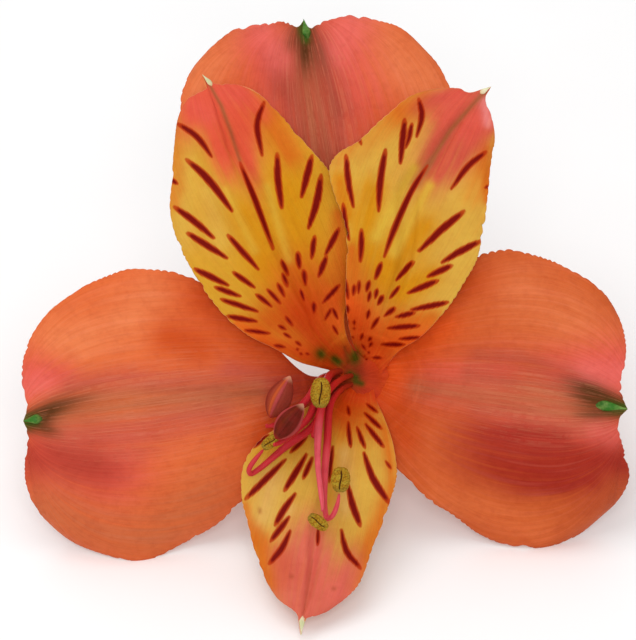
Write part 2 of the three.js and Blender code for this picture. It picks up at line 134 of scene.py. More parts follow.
# The tepals. A margin runs from the claw to the tip, left and right as seen when the tip points up.
# "back" is how far the left and the right side sweep back, "lift" how far they rise over the tepals beside
# them, and "lean" how far the midrib runs off the middle. "tints" are soft brush strokes of one colour: its
# name, its strength, and strokes given by their points, the radius at the first point and the radius at
# the last. "streaks" are dark marks given by their points and width. Margins, tips, tints and streaks are
# in the face view.
# Some of the tints are painted light and painted shade, in part or in whole; each is noted where it stands.
TEPALS = {
    "outer_tepal_top": {
        "whorl": OUTER, "claw": 92, "tip": (304, 20), "shoulder": 0.74, "base": "orange",
        "left": [(332, 335), (308, 300), (275, 255), (235, 205), (202, 160), (184, 122), (182, 96),
                 (189, 74), (201, 58), (216, 43), (237, 29), (262, 24), (284, 22), (298, 27)],
        "right": [(378, 335), (390, 300), (408, 255), (428, 205), (444, 160), (453, 120), (451, 90),
                  (441, 69), (424, 49), (402, 29), (378, 20), (352, 16), (328, 21), (310, 29)],
        "back": (2.0, 2.0), "lift": (0, 0), "tip_rise": -2.5, "lean": 0, "groove": 0.9, "wave": 0.5,
        "teeth": 1.5,
        "tints": [
            ("peach", 0.85, [[(368, 44), (416, 78), (440, 130), 36, 20],
                             [(240, 46), (205, 76), (190, 112), 24, 16]]),
            ("deep orange", 0.9, [[(250, 150), (300, 230), 24, 80], [(392, 165), (350, 230), 20, 80]]),
            ("rose", 0.85, [[(262, 44), (290, 90), 30, 36], [(335, 36), (345, 90), 36, 38],
                            [(318, 90), (325, 150), 50, 44]]),
            # the strokes along the midrib are partly painted shade in its groove
            ("wine", 0.68, [[(302, 34), (305, 100), (322, 156), 24, 36], [(316, 50), (336, 110), 18, 16],
                            [(278, 56), (284, 90), 14, 12]]),
            ("tan", 0.5, [[(307, 60), (312, 105), (322, 160), 14, 20]]),
            # partly painted highlights, where the lobes beside the groove bulge towards the light
            ("pink", 0.7, [[(352, 24), (338, 50), 24, 20], [(262, 34), (278, 60), 18, 16]]),
            ("olive", 1.0, [[(304, 22), (305, 46), (306, 92), 8, 9]]),
            ("olive", 0.5, [[(304, 30), (318, 52), (330, 90), 12, 9],
                            [(304, 30), (292, 44), (288, 60), 8, 6]]),
            ("leaf green", 1.0, [[(303, 18), (304, 32), (306, 40), 8, 4]]),
        ],
        "streaks": [],
    },
    "outer_tepal_left": {
        "whorl": OUTER, "claw": 217, "tip": (24, 421), "shoulder": 0.74, "base": "orange",
        "left": [(322, 412), (300, 438), (272, 470), (243, 500), (212, 527), (182, 544), (160, 556),
                 (138, 562), (105, 555), (72, 543), (48, 523), (31, 499), (25, 474), (26, 452), (30, 437)],
        "right": [(320, 377), (309, 376), (299, 370), (288, 360), (268, 338), (236, 305), (198, 280),
                  (165, 271), (132, 270), (101, 279), (70, 295), (43, 319), (27, 348), (22, 378),
                  (28, 406)],
        "back": (7.5, 0.5), "lift": (0, 0), "tip_rise": -1.0, "lean": 0, "groove": 0.8, "wave": 0.5,
        "teeth": 1.4,
        "tints": [
            ("peach", 0.8, [[(60, 345), (100, 335), (150, 300), 30, 26]]),
            # partly painted shadow, where the upper left inner tepal lies over this tepal
            ("deep orange", 0.9, [[(205, 300), (290, 365), 24, 46], [(285, 400), (262, 440), 40, 16],
                                  [(170, 338), (200, 345), 20, 20]]),
            ("rose", 0.85, [[(34, 376), (64, 378), 26, 16], [(45, 455), (110, 470), 36, 40]]),
            ("dull rose", 0.85, [[(70, 386), (130, 380), (215, 388), 12, 18],
                                 [(70, 440), (130, 434), (215, 408), 24, 22],
                                 [(230, 372), (285, 392), 14, 18]]),
            # the stroke below the midrib by the tip is partly painted shade, where the blade sweeps back
            ("brick", 0.6, [[(30, 454), (66, 462), (160, 482), 24, 18], [(330, 385), (240, 394), 30, 20]]),
            ("tan", 0.7, [[(60, 412), (130, 402), (255, 394), 18, 15]]),
            ("tan", 0.4, [[(50, 505), (90, 525), (150, 535), (205, 495), 26, 30]]),
            # a painted highlight on the edge of the tip
            ("pink", 0.6, [[(26, 388), (44, 384), 16, 14]]),
            ("olive", 1.0, [[(26, 421), (46, 412), (84, 396), 9, 10],
                            [(28, 422), (44, 418), (62, 414), 7, 7]]),
            ("olive", 0.85, [[(28, 424), (46, 429), (70, 436), 8, 7]]),
            ("olive", 0.45, [[(40, 414), (76, 400), (116, 386), 9, 12]]),
            ("leaf green", 1.0, [[(22, 421), (36, 420), 9, 5]]),
        ],
        "streaks": [],
    },
    "outer_tepal_right": {
        "whorl": OUTER, "claw": 333, "tip": (627, 409), "shoulder": 0.74, "base": "burnt orange",
        "left": [(404, 346), (426, 312), (452, 280), (478, 256), (502, 251), (526, 254), (552, 262),
                 (580, 275), (603, 293), (618, 317), (626, 345), (623, 370), (620, 393)],
        "right": [(376, 420), (384, 448), (394, 465), (409, 479), (430, 501), (460, 519), (481, 535),
                  (510, 546), (545, 548), (577, 537), (604, 516), (621, 498), (629, 472), (622, 445),
                  (618, 430), (619, 418)],
        "back": (0.5, 9.1), "lift": (0, 0), "tip_rise": -1.0, "lean": -0.15, "groove": 0.8, "wave": 0.5,
        "teeth": 1.6,
        "tints": [
            # partly painted light, where the lower margin turns back towards the light
            ("light orange", 0.5, [[(440, 495), (545, 535), 20, 14]]),
            # partly painted light on the upper lobe, which faces the light
            ("peach", 0.5, [[(520, 292), (600, 340), 26, 26]]),
            ("deep orange", 0.8, [[(462, 280), (440, 300), 24, 20], [(390, 396), (406, 440), 26, 18]]),
            # brighter than the tepal's own colour: painted light where the upper right inner tepal shades it
            ("bright orange", 0.9, [[(440, 325), (400, 372), 22, 26]]),
            ("rose", 0.85, [[(612, 368), (560, 378), 34, 30], [(612, 440), (520, 425), 26, 30],
                            [(500, 385), (440, 385), 34, 24]]),
            ("dull rose", 0.8, [[(606, 428), (570, 424), (520, 420), 14, 14],
                                [(560, 410), (480, 410), 10, 10]]),
            # the band below the midrib is partly painted shade of the fold where the blade turns away
            ("brick", 0.95, [[(634, 462), (560, 457), (404, 434), 24, 30],
                             [(590, 478), (530, 472), (420, 452), 14, 26],
                             [(560, 440), (500, 435), (430, 428), 10, 16],
                             [(566, 482), (490, 478), 13, 15]]),
            ("brick", 0.3, [[(610, 500), (560, 514), 16, 14]]),
            ("wine", 0.42, [[(574, 378), (520, 360), (478, 356), 13, 10],
                            [(560, 388), (470, 374), 10, 9]]),
            ("tan", 0.62, [[(580, 402), (500, 396), (420, 388), 22, 13]]),
            # painted highlights near the tip
            ("pink", 0.9, [[(616, 376), (590, 376), 20, 18]]),
            ("pink", 0.4, [[(614, 434), (596, 430), 14, 12]]),
            ("olive", 1.0, [[(622, 407), (594, 392), (548, 374), 9, 13],
                            [(622, 408), (594, 400), (556, 392), 9, 11]]),
            ("olive", 0.75, [[(620, 411), (594, 414), (560, 412), 7, 9]]),
            ("leaf green", 1.0, [[(630, 409), (610, 407), 6, 6]]),
        ],
        "streaks": [],
    },
    "inner_tepal_upper_left": {
        "whorl": INNER, "claw": 145, "tip": (203, 76), "shoulder": 0.86, "base": "yellow",
        "left": [(332, 371), (318, 367), (300, 362), (278, 350), (243, 331), (215, 304), (196, 275),
                 (180, 245), (171, 215), (173, 180), (175, 150), (179, 120), (188, 101), (207, 89)],
        "right": [(347, 338), (344, 318), (349, 292), (349, 250), (342, 208), (328, 171), (304, 143),
                  (280, 116), (259, 95), (238, 86), (214, 85)],
        "back": (0.6, 0), "lift": (0, -0.8), "tip_rise": 0.8, "lean": -0.14, "groove": 0.7, "wave": 0.4,
        "teeth": 0.9,
        "tints": [
            ("pale yellow", 0.9, [[(182, 138), (182, 240), 22, 16], [(208, 190), (220, 240), 12, 14]]),
            ("gold", 0.9, [[(290, 190), (300, 270), 34, 36], [(244, 214), (268, 268), 13, 22]]),
            ("amber", 0.9, [[(268, 120), (290, 155), 22, 14], [(338, 215), (345, 290), 8, 16],
                            [(292, 268), (316, 286), 14, 20], [(305, 295), (262, 325), 40, 18]]),
            ("amber", 0.5, [[(176, 135), (174, 205), 14, 8], [(172, 172), (178, 188), 7, 7]]),
            ("flame", 0.9, [[(304, 314), (325, 350), 34, 28]]),
            # brighter than the tepal's own colour: painted light against the shade of the throat
            ("bright orange", 0.75, [[(334, 296), (336, 322), 10, 12],
                                     [(238, 324), (270, 342), (302, 354), 7, 13]]),
            ("flame", 0.6, [[(262, 344), (296, 354), (325, 366), 6, 14]]),
            ("coral", 1.0, [[(204, 88), (194, 112), (180, 156), 20, 14],
                            [(210, 90), (218, 130), (236, 208), 18, 12],
                            [(226, 90), (238, 126), (254, 206), 17, 8],
                            [(240, 92), (256, 108), (274, 132), 14, 12],
                            [(236, 112), (250, 166), (262, 220), 16, 8],
                            [(212, 110), (224, 160), (234, 200), 13, 6]]),
            ("rose", 0.7, [[(192, 104), (206, 116), 16, 12], [(226, 92), (240, 96), 14, 12]]),
            # partly painted highlight on the ridges beside the midrib
            ("pale rib", 0.6, [[(226, 190), (254, 250), 4, 5], [(268, 186), (288, 258), 4, 6]]),
            ("midrib brown", 0.85, [[(208, 82), (222, 106), (232, 132), (240, 160), 1.5, 2.6]]),
            # painted shadow along the edge of the upper right inner tepal, down into the throat
            ("throat brown", 0.6, [[(344, 346), (347, 362), (350, 374), 2.5, 5],
                                   [(334, 362), (344, 368), 5, 5]]),
            ("nectar green", 1.0, [[(319.5, 353), (320, 354), 6.5, 6.5], [(333, 358), (337, 361), 5, 5],
                                   [(354.5, 355), (355, 358), 9, 9]]),
        ],
        "streaks": [
            [(240, 163), (256, 205), (272, 249), 6.5], [(180, 125), (198, 138), (212, 157), 6],
            [(187, 160), (207, 178), (232, 211), 7.5], [(264, 103), (257, 124), (262, 156), 6],
            [(277, 154), (278, 182), (282, 207), 7], [(312, 156), (301, 197), 7],
            [(321, 175), (316, 203), (308, 228), 7.5], [(175, 207), (193, 220), (214, 238), 7],
            [(188, 233), (227, 258), 6.5], [(228, 235), (258, 269), 6], [(314, 236), (311, 258), 5.5],
            [(339, 228), (325, 254), 6], [(326, 256), (318, 276), 6], [(298, 251), (300, 267), 5],
            [(304, 269), (306, 284), 4.4], [(280, 260), (287, 275), 5], [(281, 273), (286, 286), 4],
            [(277, 283), (284, 296), 4.4], [(267, 289), (280, 303), 4.4], [(256, 294), (271, 306), 5],
            [(233, 272), (254, 287), 5.4], [(195, 269), (228, 285), 6.4], [(215, 287), (240, 296), 5.6],
            [(221, 299), (257, 311), 5.6], [(227, 316), (256, 321), 5.6], [(245, 330), (269, 333), 4.4],
            [(300, 289), (303, 300), 4.6], [(339, 284), (322, 302), 5], [(314, 301), (314, 312), 4.6],
            [(330, 308), (324, 319), 3.8], [(332, 308), (337, 318), 3.8], [(332, 325), (337, 333), 3.4],
            [(285, 316), (292, 325), 3.8], [(278, 325), (285, 329), 4], [(283, 333), (290, 337), 3.6],
            [(295, 341), (300, 345), 3.2], [(274, 345), (284, 347), 3.8], [(296, 348), (297, 350), 2.8],
            [(299, 353), (301, 354), 3], [(305, 353), (308, 354), 2.8], [(171, 180), (178, 184), 4.5],
        ],
    },
    "inner_tepal_upper_right": {
        "whorl": INNER, "claw": 30, "tip": (490, 88), "shoulder": 0.86, "base": "pale yellow",
        "left": [(355, 347), (350, 331), (346, 300), (347, 262), (345, 225), (336, 198), (330, 168),
                 (338, 155), (358, 142), (385, 118), (412, 97), (440, 90), (458, 90), (468, 94),
                 (480, 91)],
        "right": [(398, 352), (420, 337), (443, 313), (464, 281), (478, 254), (485, 212), (489, 170),
                  (494, 138), (490, 116), (484, 101)],
        "back": (0, 0.6), "lift": (0.8, 0), "tip_rise": 0.8, "lean": 0.1, "groove": 0.7, "wave": 0.4,
        "teeth": 0.9,
        "tints": [
            ("gold", 0.95, [[(372, 190), (365, 250), 14, 24], [(424, 226), (382, 275), 15, 30],
                            [(430, 275), (400, 292), 12, 18], [(340, 180), (346, 215), 10, 12]]),
            ("amber", 0.9, [[(352, 250), (358, 310), 8, 26], [(395, 325), (430, 318), 20, 14],
                            [(400, 112), (425, 100), 16, 14], [(484, 150), (486, 200), 12, 5]]),
            ("amber", 0.45, [[(334, 160), (350, 150), (392, 118), 12, 18], [(340, 184), (344, 212), 8, 8],
                             [(478, 172), (474, 196), 12, 12]]),
            # brighter than the tepal's own colour: painted light against the shade of the throat
            ("bright orange", 0.95, [[(348, 300), (360, 330), 14, 26], [(380, 345), (428, 338), 20, 14]]),
            ("flame", 0.4, [[(352, 328), (364, 352), 18, 22]]),
            ("dusty coral", 1.0, [[(484, 94), (450, 122), (420, 168), (400, 214), 20, 12],
                                  [(488, 100), (464, 136), (432, 184), (418, 212), 20, 9],
                                  [(460, 120), (442, 164), (420, 214), 20, 16],
                                  [(478, 124), (458, 160), (446, 196), 14, 10],
                                  [(474, 90), (436, 100), (394, 122), 13, 10],
                                  [(492, 108), (484, 146), 15, 9]]),
            ("rose", 0.7, [[(456, 96), (440, 116), 14, 12], [(480, 116), (468, 134), 12, 12]]),
            ("blush", 0.8, [[(484, 102), (487, 124), 6, 5]]),
            # partly painted highlight on the ridges beside the midrib
            ("pale rib", 0.9, [[(412, 168), (376, 236), 6, 7], [(430, 186), (394, 250), 5, 7]]),
            ("midrib brown", 0.85, [[(484, 93), (450, 130), (424, 172), 3.4, 4],
                                    [(432, 160), (416, 184), 4, 5]]),
            ("nectar green", 1.0, [[(354.5, 354), (355, 358), 9.5, 9.5]]),
        ],
        "streaks": [
            [(427, 166), (411, 192), (396, 222), (384, 256), 6.5], [(346, 156), (348, 182), (353, 207), 6],
            [(385, 150), (380, 180), (378, 211), 7], [(404, 120), (402, 140), (400, 163), 6.5],
            [(411, 124), (409, 136), (405, 148), 5], [(418, 100), (421, 116), (416, 137), 6],
            [(359, 138), (361, 145), 3], [(343, 204), (345, 222), (349, 240), 5],
            [(361, 229), (361, 246), (360, 261), 5.5], [(485, 152), (468, 166), (451, 189), 6],
            [(464, 211), (443, 228), (420, 250), 7.5], [(480, 241), (462, 250), (442, 262), 7],
            [(415, 261), (396, 279), 6.4], [(452, 265), (428, 276), 6.4], [(438, 280), (409, 292), 6.4],
            [(381, 262), (375, 278), 5.6], [(400, 286), (390, 297), 5.4], [(448, 302), (412, 309), 6],
            [(415, 312), (397, 316), 5.4], [(396, 307), (385, 315), 5.4], [(420, 325), (389, 327), 5.6],
            [(420, 337), (401, 338), 4.6], [(405, 344), (383, 343), 5], [(383, 357), (374, 356), 4],
            [(345, 279), (348, 298), 4.4], [(354, 284), (353, 294), 4], [(359, 280), (358, 292), 3.6],
            [(369, 280), (366, 290), 4.8], [(370, 291), (368, 300), 4], [(377, 288), (375, 297), 4.6],
            [(383, 294), (378, 303), 5], [(369, 309), (367, 317), 4.4], [(379, 316), (372, 327), 4.6],
            [(347, 305), (348, 312), 4.4], [(347, 319), (347, 325), 3.8], [(354, 319), (354, 323), 3.2],
            [(354, 326), (354, 328), 2.8], [(353, 336), (353, 337), 3], [(345, 332), (346, 336), 3.4],
            [(345, 340), (349, 347), 3.4], [(363, 332), (361, 338), 3.6], [(372, 336), (369, 339), 3.8],
            [(362, 343), (366, 348), 3.4], [(373, 341), (370, 345), 3.6], [(370, 350), (369, 352), 3.2],
            [(365, 354), (365, 355), 3.2], [(368, 357), (366, 359), 3.2], [(489, 187), (484, 188), 3.6],
        ],
    },
    "inner_tepal_lower": {
        "whorl": INNER, "claw": 268, "tip": (301, 633), "shoulder": 0.86, "base": "pale yellow",
        "left": [(377, 402), (384, 418), (393, 445), (396, 472), (389, 503), (381, 526), (370, 552),
                 (358, 583), (341, 600), (320, 613), (305, 617)],
        "right": [(338, 392), (314, 404), (285, 421), (258, 443), (243, 470), (242, 496), (249, 525),
                  (257, 554), (267, 580), (280, 599), (297, 612)],
        "back": (1.2, 1.8), "lift": (0, 0), "tip_rise": 2.5, "lean": 0.15, "groove": 0.7, "wave": 0.4,
        "teeth": 0.9,
        "tints": [
            ("gold", 0.6, [[(340, 440), (335, 500), 22, 14], [(262, 450), (300, 440), 16, 16]]),
            ("amber", 0.8, [[(246, 505), (254, 540), 5, 8], [(262, 566), (278, 585), 10, 12],
                            [(394, 480), (372, 545), 8, 14], [(372, 545), (350, 590), 14, 20],
                            [(258, 530), (272, 562), 8, 14], [(330, 415), (365, 420), 24, 20],
                            [(385, 430), (392, 470), 9, 7]]),
            ("flame", 0.8, [[(352, 390), (340, 410), 22, 20]]),
            ("salmon", 1.0, [[(302, 622), (310, 580), (318, 486), 38, 12],
                             [(332, 606), (350, 566), (360, 530), 16, 8],
                             [(306, 606), (304, 550), (302, 490), 30, 14]]),
            ("dusty coral", 0.75, [[(282, 556), (294, 600), 13, 20]]),
            ("amber", 0.7, [[(252, 524), (262, 558), (270, 584), 7, 8]]),
            ("pink", 0.3, [[(318, 520), (318, 560), 7, 16], [(330, 590), (345, 596), 14, 10]]),
            ("cream", 0.75, [[(345, 455), (345, 508), 10, 10], [(272, 478), (264, 516), 12, 12],
                             [(290, 508), (284, 518), 6, 4]]),
            ("midrib brown", 0.25, [[(302, 618), (312, 560), 1.4, 1.6]]),
            ("brick spots", 0.5, [[(260, 510), (260, 512), 2.2, 2.2], [(291, 576), (292, 576), 2.2, 2.2],
                                  [(333, 588), (334, 588), 2.2, 2.2]]),
        ],
        "streaks": [
            [(347, 408), (349, 417), 4], [(348, 424), (349, 436), (351, 448), 5],
            [(357, 429), (365, 449), 5], [(366, 426), (384, 448), 5.4], [(365, 415), (382, 430), 5],
            [(367, 406), (378, 414), 4], [(364, 454), (373, 479), (389, 503), 7],
            [(386, 462), (391, 469), 3], [(348, 486), (352, 504), (360, 526), 7],
            [(341, 530), (346, 551), (360, 568), 6], [(318, 527), (318, 545), 5],
            [(332, 448), (329, 466), (328, 482), 5], [(306, 438), (290, 453), 5],
            [(268, 435), (253, 447), 5], [(285, 460), (246, 499), 6.6],
            [(306, 455), (296, 472), (284, 491), 6.6], [(312, 458), (303, 479), 5.4],
            [(295, 494), (285, 508), (275, 525), 6.6], [(289, 517), (271, 541), 6],
            [(290, 531), (282, 548), (270, 563), 6.4],
        ],
    },
}

# The claws are fleshy where they close the throat: their fronts never lie lower than a shallow bowl, whose
# middle is filled by a mound with tints of its own. The bowl of each whorl is given by its height on the
# axis and its rise by the square of the distance, and it drops away from the blades between its ends.
THROAT_FLESH = {
    "inner": (10.6, 0.09), "outer": (10.6, 0.045), "inner_ends": (5.0, 7.0), "outer_ends": (6.8, 9.0),
    "drop": 14, "softness": 0.6, "dip": 0.25, "dip_width": 0.85, "dips": (0.7, 1.0), "thickness": 1.5,
    "reach": 3.0, "gap_reach": 0.5, "gap_width": 25, "sunk": 0.05, "ripple": 0.03, "ripples": 17,
    "rings": 60, "rings_under": 12, "middle": 0.02, "sides": 160, "fibres_from": (345, 379),
    "fibre_length": 60,
    "tints": [
        ("deep orange", 0.6, [[(400, 385), (362, 378), 16, 10], [(350, 352), (372, 350), 10, 10]]),
        ("brick", 0.4, [[(362, 372), (376, 380), (392, 384), 12, 8], [(366, 392), (380, 402), 8, 8]]),
        # painted shade deep in the throat
        ("throat brown", 0.6, [[(346, 354), (344, 376), (350, 394), 8, 11],
                               [(352, 362), (358, 374), 8, 8]]),
        ("nectar green", 0.85, [[(354.5, 355), (355, 358), 8, 8], [(350, 374), (356, 378), 4, 4],
                                [(356, 382), (362, 384), 4, 3.4]]),
    ],
}

# The hard point at each tip: where it starts on the blade and ends in the face view, its thickness and how
# far its end comes forward
TEPAL_POINTS = {
    "outer_tepal_top": {"root": (308, 40), "tip": (303.5, 19), "thick": 1.0, "rise": 0.3},
    "outer_tepal_left": {"root": (44, 418), "tip": (23.5, 421), "thick": 1.1, "rise": 0.3},
    "outer_tepal_right": {"root": (592, 403.5), "tip": (627.5, 409), "thick": 1.2, "rise": 0.5},
    "inner_tepal_upper_left": {"root": (214, 88), "tip": (203, 76), "thick": 0.55, "rise": 0.4},
    "inner_tepal_upper_right": {"root": (478, 95), "tip": (490, 88), "thick": 0.6, "rise": 0.4},
    "inner_tepal_lower": {"root": (303, 610), "tip": (301, 633.5), "thick": 0.72, "rise": 0.4},
}
# The shape of every point: where on the blade its root is looked for, how it bends, flattens and tapers
POINT = {
    "search_from": 0.7, "steps": 200, "bend_at": 0.55, "bend": 0.12, "flatness": 0.35, "foot": 0.35,
    "widest_at": 0.35, "end": 0.12, "taper": 0.9, "ridge": 0.04, "rings": 48, "sides": 24,
}

# Ovary and stalk. Each ring of the cut is given by its share of the radius and how far it is raised.
OVARY = {
    "length": 9, "top_radius": 3.35, "rim_round": 0.25, "waist": 3.4, "foot_radius": 2.0, "ribs": 6,
    "rib_depth": 0.22, "fine_ribs": 36, "fine_depth": 0.03, "rings": 72, "sides": 216,
}
STALK = {
    "radius": 1.15, "length": 4.0, "socket": 0.5, "clearance": 0.3, "top_gap": 0.02, "bend": 0.5, "ribs": 6,
    "rib_depth": 0.03, "fine_ribs": 18, "fine_depth": 0.012, "shown_from": 0.4,
    "cut_rings": ((0.985, -0.03), (0.8, 0.02), (0.45, 0.05)), "cut_middle": 0.06, "sides": 64, "rings": 60,
}

# Stamens round the style. Filaments and style start just over the ovary. "way" is the route of a filament
# in the bloom's own frame, "at" the middle of its anther and "along" the direction of the anther.
RING_RADIUS = 1.05
STEM_START = 0.05
FILAMENT = {
    "foot": 0.3, "belly": 0.46, "tip": 0.3, "swells": (0.3, 0.6), "thins": (0.65, 0.93), "rounding": 0.45,
    "rounds": (0.94, 1.0), "ridge": 0.05, "reach": 0.35, "blush_height": (20.0, 22.0), "usual_blush": 0.12,
    "blush_share": (0.3, 0.8), "rings": 120, "sides": 24,
}
STAMENS = {
    "1": {
        "foot": 90,
        "way": [(-1.1, 0.75, 8), (-3.5, 0.25, 13), (-4.2, -0.9, 18.5), (-4.7, -2.1, 22.3)],
        "at": (-4.8, -1.9, 24), "along": (0.05, 1, 0.12), "length": 3.5, "width": 2.3, "blush": 0.2,
        "open": True,
    },
    "2": {
        "foot": 330,
        "way": [(-0.2, -0.8, 8), (-2.4, -1.55, 13), (-3.7, -3.5, 17), (-4, -7.6, 20.2),
                (-4.3, -11.2, 22.2), (-4.3, -15.4, 23.9), (-4.0, -16.4, 24.6), (-3.4, -16, 25.4),
                (-2.9, -14.8, 25.8), (-2.7, -13.8, 26)],
        "at": (-2.5, -11.9, 26.3), "along": (0.05, 1, 0.1), "length": 2.9, "width": 2.2, "blush": 0.45,
        "open": True,
    },
    "3": {
        "foot": 30,
        "way": [(-0.2, 0.2, 8), (-2.4, -0.4, 13), (-4.3, -2.4, 18.2), (-5, -6, 21), (-5.1, -10.2, 23.4),
                (-4.6, -15.3, 25.2)],
        "at": (-5.1, -16.8, 25.9), "along": (1, -0.75, 0), "length": 2.6, "width": 1.5, "blush": 0.95,
        "open": True,
    },
    "4": {
        "foot": 150,
        "way": [(-1.95, 0.15, 8), (-4.7, -0.3, 13), (-6.4, -2.75, 17.4), (-9.5, -5.4, 19.6),
                (-11.1, -5.8, 20.3)],
        "at": (-9.5, -2.4, 21), "along": (0.44, 0.9, 0.05), "length": 5.4, "width": 3.0, "blush": 0.0,
        "open": False, "face": 1.0,
    },
    "5": {
        "foot": 210,
        "way": [(-2, -0.75, 8), (-4.75, -1.55, 13.4), (-6.3, -5, 19), (-9.2, -7.5, 22.7),
                (-10.2, -7.9, 23.8)],
        "at": (-8.4, -5.2, 24.6), "along": (0.62, 0.78, 0.05), "length": 5.2, "width": 2.9, "blush": 0.0,
        "open": False, "face": 0.1,
    },
    "6": {
        "foot": 270,
        "way": [(-1.1, -1.35, 8), (-3.4, -2.3, 13.7), (-4.5, -3.7, 16.2), (-5.8, -5.9, 18.4),
                (-9.0, -8.3, 20), (-12.0, -10.8, 21.2), (-12.9, -11.3, 21.7), (-13.1, -10.8, 22.3),
                (-12.6, -9.9, 22.5), (-11.6, -8.7, 22.3)],
        "at": (-10.6, -7.6, 22), "along": (0.8, 0.6, 0), "length": 2.3, "width": 1.4, "blush": 0.1,
        "open": True,
    },
}
STYLE = {
    "way": [(-1.1, -0.3, 8), (-3.5, -0.95, 13), (-4.7, -3.2, 17.4), (-5.3, -5.5, 19.6), (-5.6, -7.2, 20.6)],
    "radius": 0.34, "widening": 0.25, "widens_from": 0.85, "ridge": 0.06, "rings": 100, "sides": 24,
}
ANTHER = {"rings": 90, "sides": 96, "bow": 0.35, "depth": 0.85}
# Clumps of pollen: how many places are tried for each, how far apart they stay in grains, how round and
# how uneven they are, and how far they stand out
POLLEN = {"tries": 7.0, "apart": 0.75, "roundness": 0.7, "sizes": (0.6, 1.3), "height": 0.08}
# How blunt the domed ends of filaments, style and points are
DOME_TOP = 0.02

# The stage, in metres. A light is placed by how far it stands to the right of the middle of the face view,
# above it and in front of it.
FLOOR_REACH = 12.0
CAMERA_CLIP = (0.01, 100)
LIGHTS = {
    "key_light": {"at": (-0.15, 0.35, 0.42), "size": 0.5},
    "fill_light": {"at": (0, 0.08, 1.35), "size": 0.45},
}

# Plain colours by name, red, green and blue from 0 to 255
COLOURS = {
    "orange": (216, 103, 53),
    # in part painted light, on the upper lobe of the right outer tepal
    "peach": (222, 124, 76),
    "burnt orange": (197, 91, 43),
    # in part painted light, along the lower margin of the right outer tepal
    "light orange": (220, 112, 60),
    # lifted above the tepals' own orange: painted light against the shade in the throat and under the inner
    # tepals
    "bright orange": (220, 84, 22),
    # in part painted shadow, where the inner tepals lie over the outer ones
    "deep orange": (194, 72, 20),
    "rose": (214, 82, 70),
    "dull rose": (190, 82, 64),
    # in part painted highlights, on the tips and lobes of the outer tepals
    "pink": (224, 104, 96),
    "blush": (220, 126, 122),
    # in part painted shade, in the groove of the top tepal's midrib
    "wine": (146, 60, 46),
    # in part painted shade, where the outer tepals turn away below the midrib
    "brick": (152, 34, 24),
    "tan": (176, 102, 66),
    "olive": (78, 44, 12),
    "leaf green": (46, 82, 14),
    "yellow": (202, 148, 40),
    "pale yellow": (206, 162, 64),
    "gold": (200, 134, 8),
    "amber": (200, 98, 20),
    "flame": (190, 50, 6),
    "coral": (212, 80, 56),
    "dusty coral": (196, 78, 62),
    "salmon": (206, 96, 80),
    "cream": (210, 166, 90),
    # in part painted highlight, on the ridges beside the inner midribs
    "pale rib": (208, 168, 56),
    "midrib brown": (150, 84, 50),
    "throat red": (198, 64, 28),
    # painted shade deep in the throat
    "throat brown": (112, 40, 14),
    "nectar green": (56, 66, 4),
    "brick spots": (150, 60, 24),
    "coral fibre": (236, 134, 100),
    "yellow fibre": (242, 162, 60),
    "coral back": (222, 120, 84),
    "yellow back": (222, 160, 84),
    "pale line": (226, 140, 104),
    # painted highlight along the margins of the tepals
    "rim highlight": (250, 190, 140),
    "leaf point foot": (40, 78, 12),
    "leaf point end": (44, 104, 20),
    "pale point foot": (220, 180, 136),
    "pale point end": (218, 212, 176),
    "point patch": (150, 170, 90),
    "filament foot": (190, 50, 28),
    "pollen gap": (104, 66, 10),
    "pale pollen": (182, 158, 50),
    "dark pollen": (96, 84, 20),
    "pollen foot": (122, 108, 44),
    "pollen seam": (62, 26, 8),
    "lobe patch": (72, 20, 6),
    "lobe face": (184, 80, 22),
    "lobe edge": (176, 68, 68),
    "lobe tip": (200, 140, 110),
    "lobe foot": (160, 34, 28),
    "pale rind": (150, 152, 78),
    "blushed rind": (176, 92, 62),
    "cut cells": (214, 214, 160),
}
# Linear colours that darken what lies under them
SHADES = {
    "fibre": (0.55, 0.22, 0.14, 1),
    "patch": (0.8, 0.5, 0.42, 1),
    "mottle": (0.7, 0.5, 0.45, 1),
    "throat fibre": (0.62, 0.25, 0.16, 1),
    "filament": (0.35, 0.01, 0.02, 1),
}
# How far red, green and blue light goes under each kind of skin, as shares of its scale
RED_GLOW = (1.0, 0.4, 0.2)
CRIMSON_GLOW = (1.0, 0.3, 0.25)
MAROON_GLOW = (1.0, 0.4, 0.3)
GREEN_GLOW = (0.6, 1.0, 0.4)
# How far each tint frays along the fibres, where it is more or less than usual, and the tints whose
# strokes fade out towards their last point, from a share of their length on
USUAL_FRAY = 0.7
FRAY = {"olive": 1.3, "tan": 1.2, "wine": 0.9, "brick": 1.2, "leaf green": 0.4, "nectar green": 0.4,
        "midrib brown": 0.5, "brick spots": 0.2, "pale rib": 0.5, "rose": 0.9, "pink": 0.9, "dull rose": 1.0}
FADING = ("olive", "brick", "coral", "dusty coral", "salmon")
FADES_FROM = 0.4


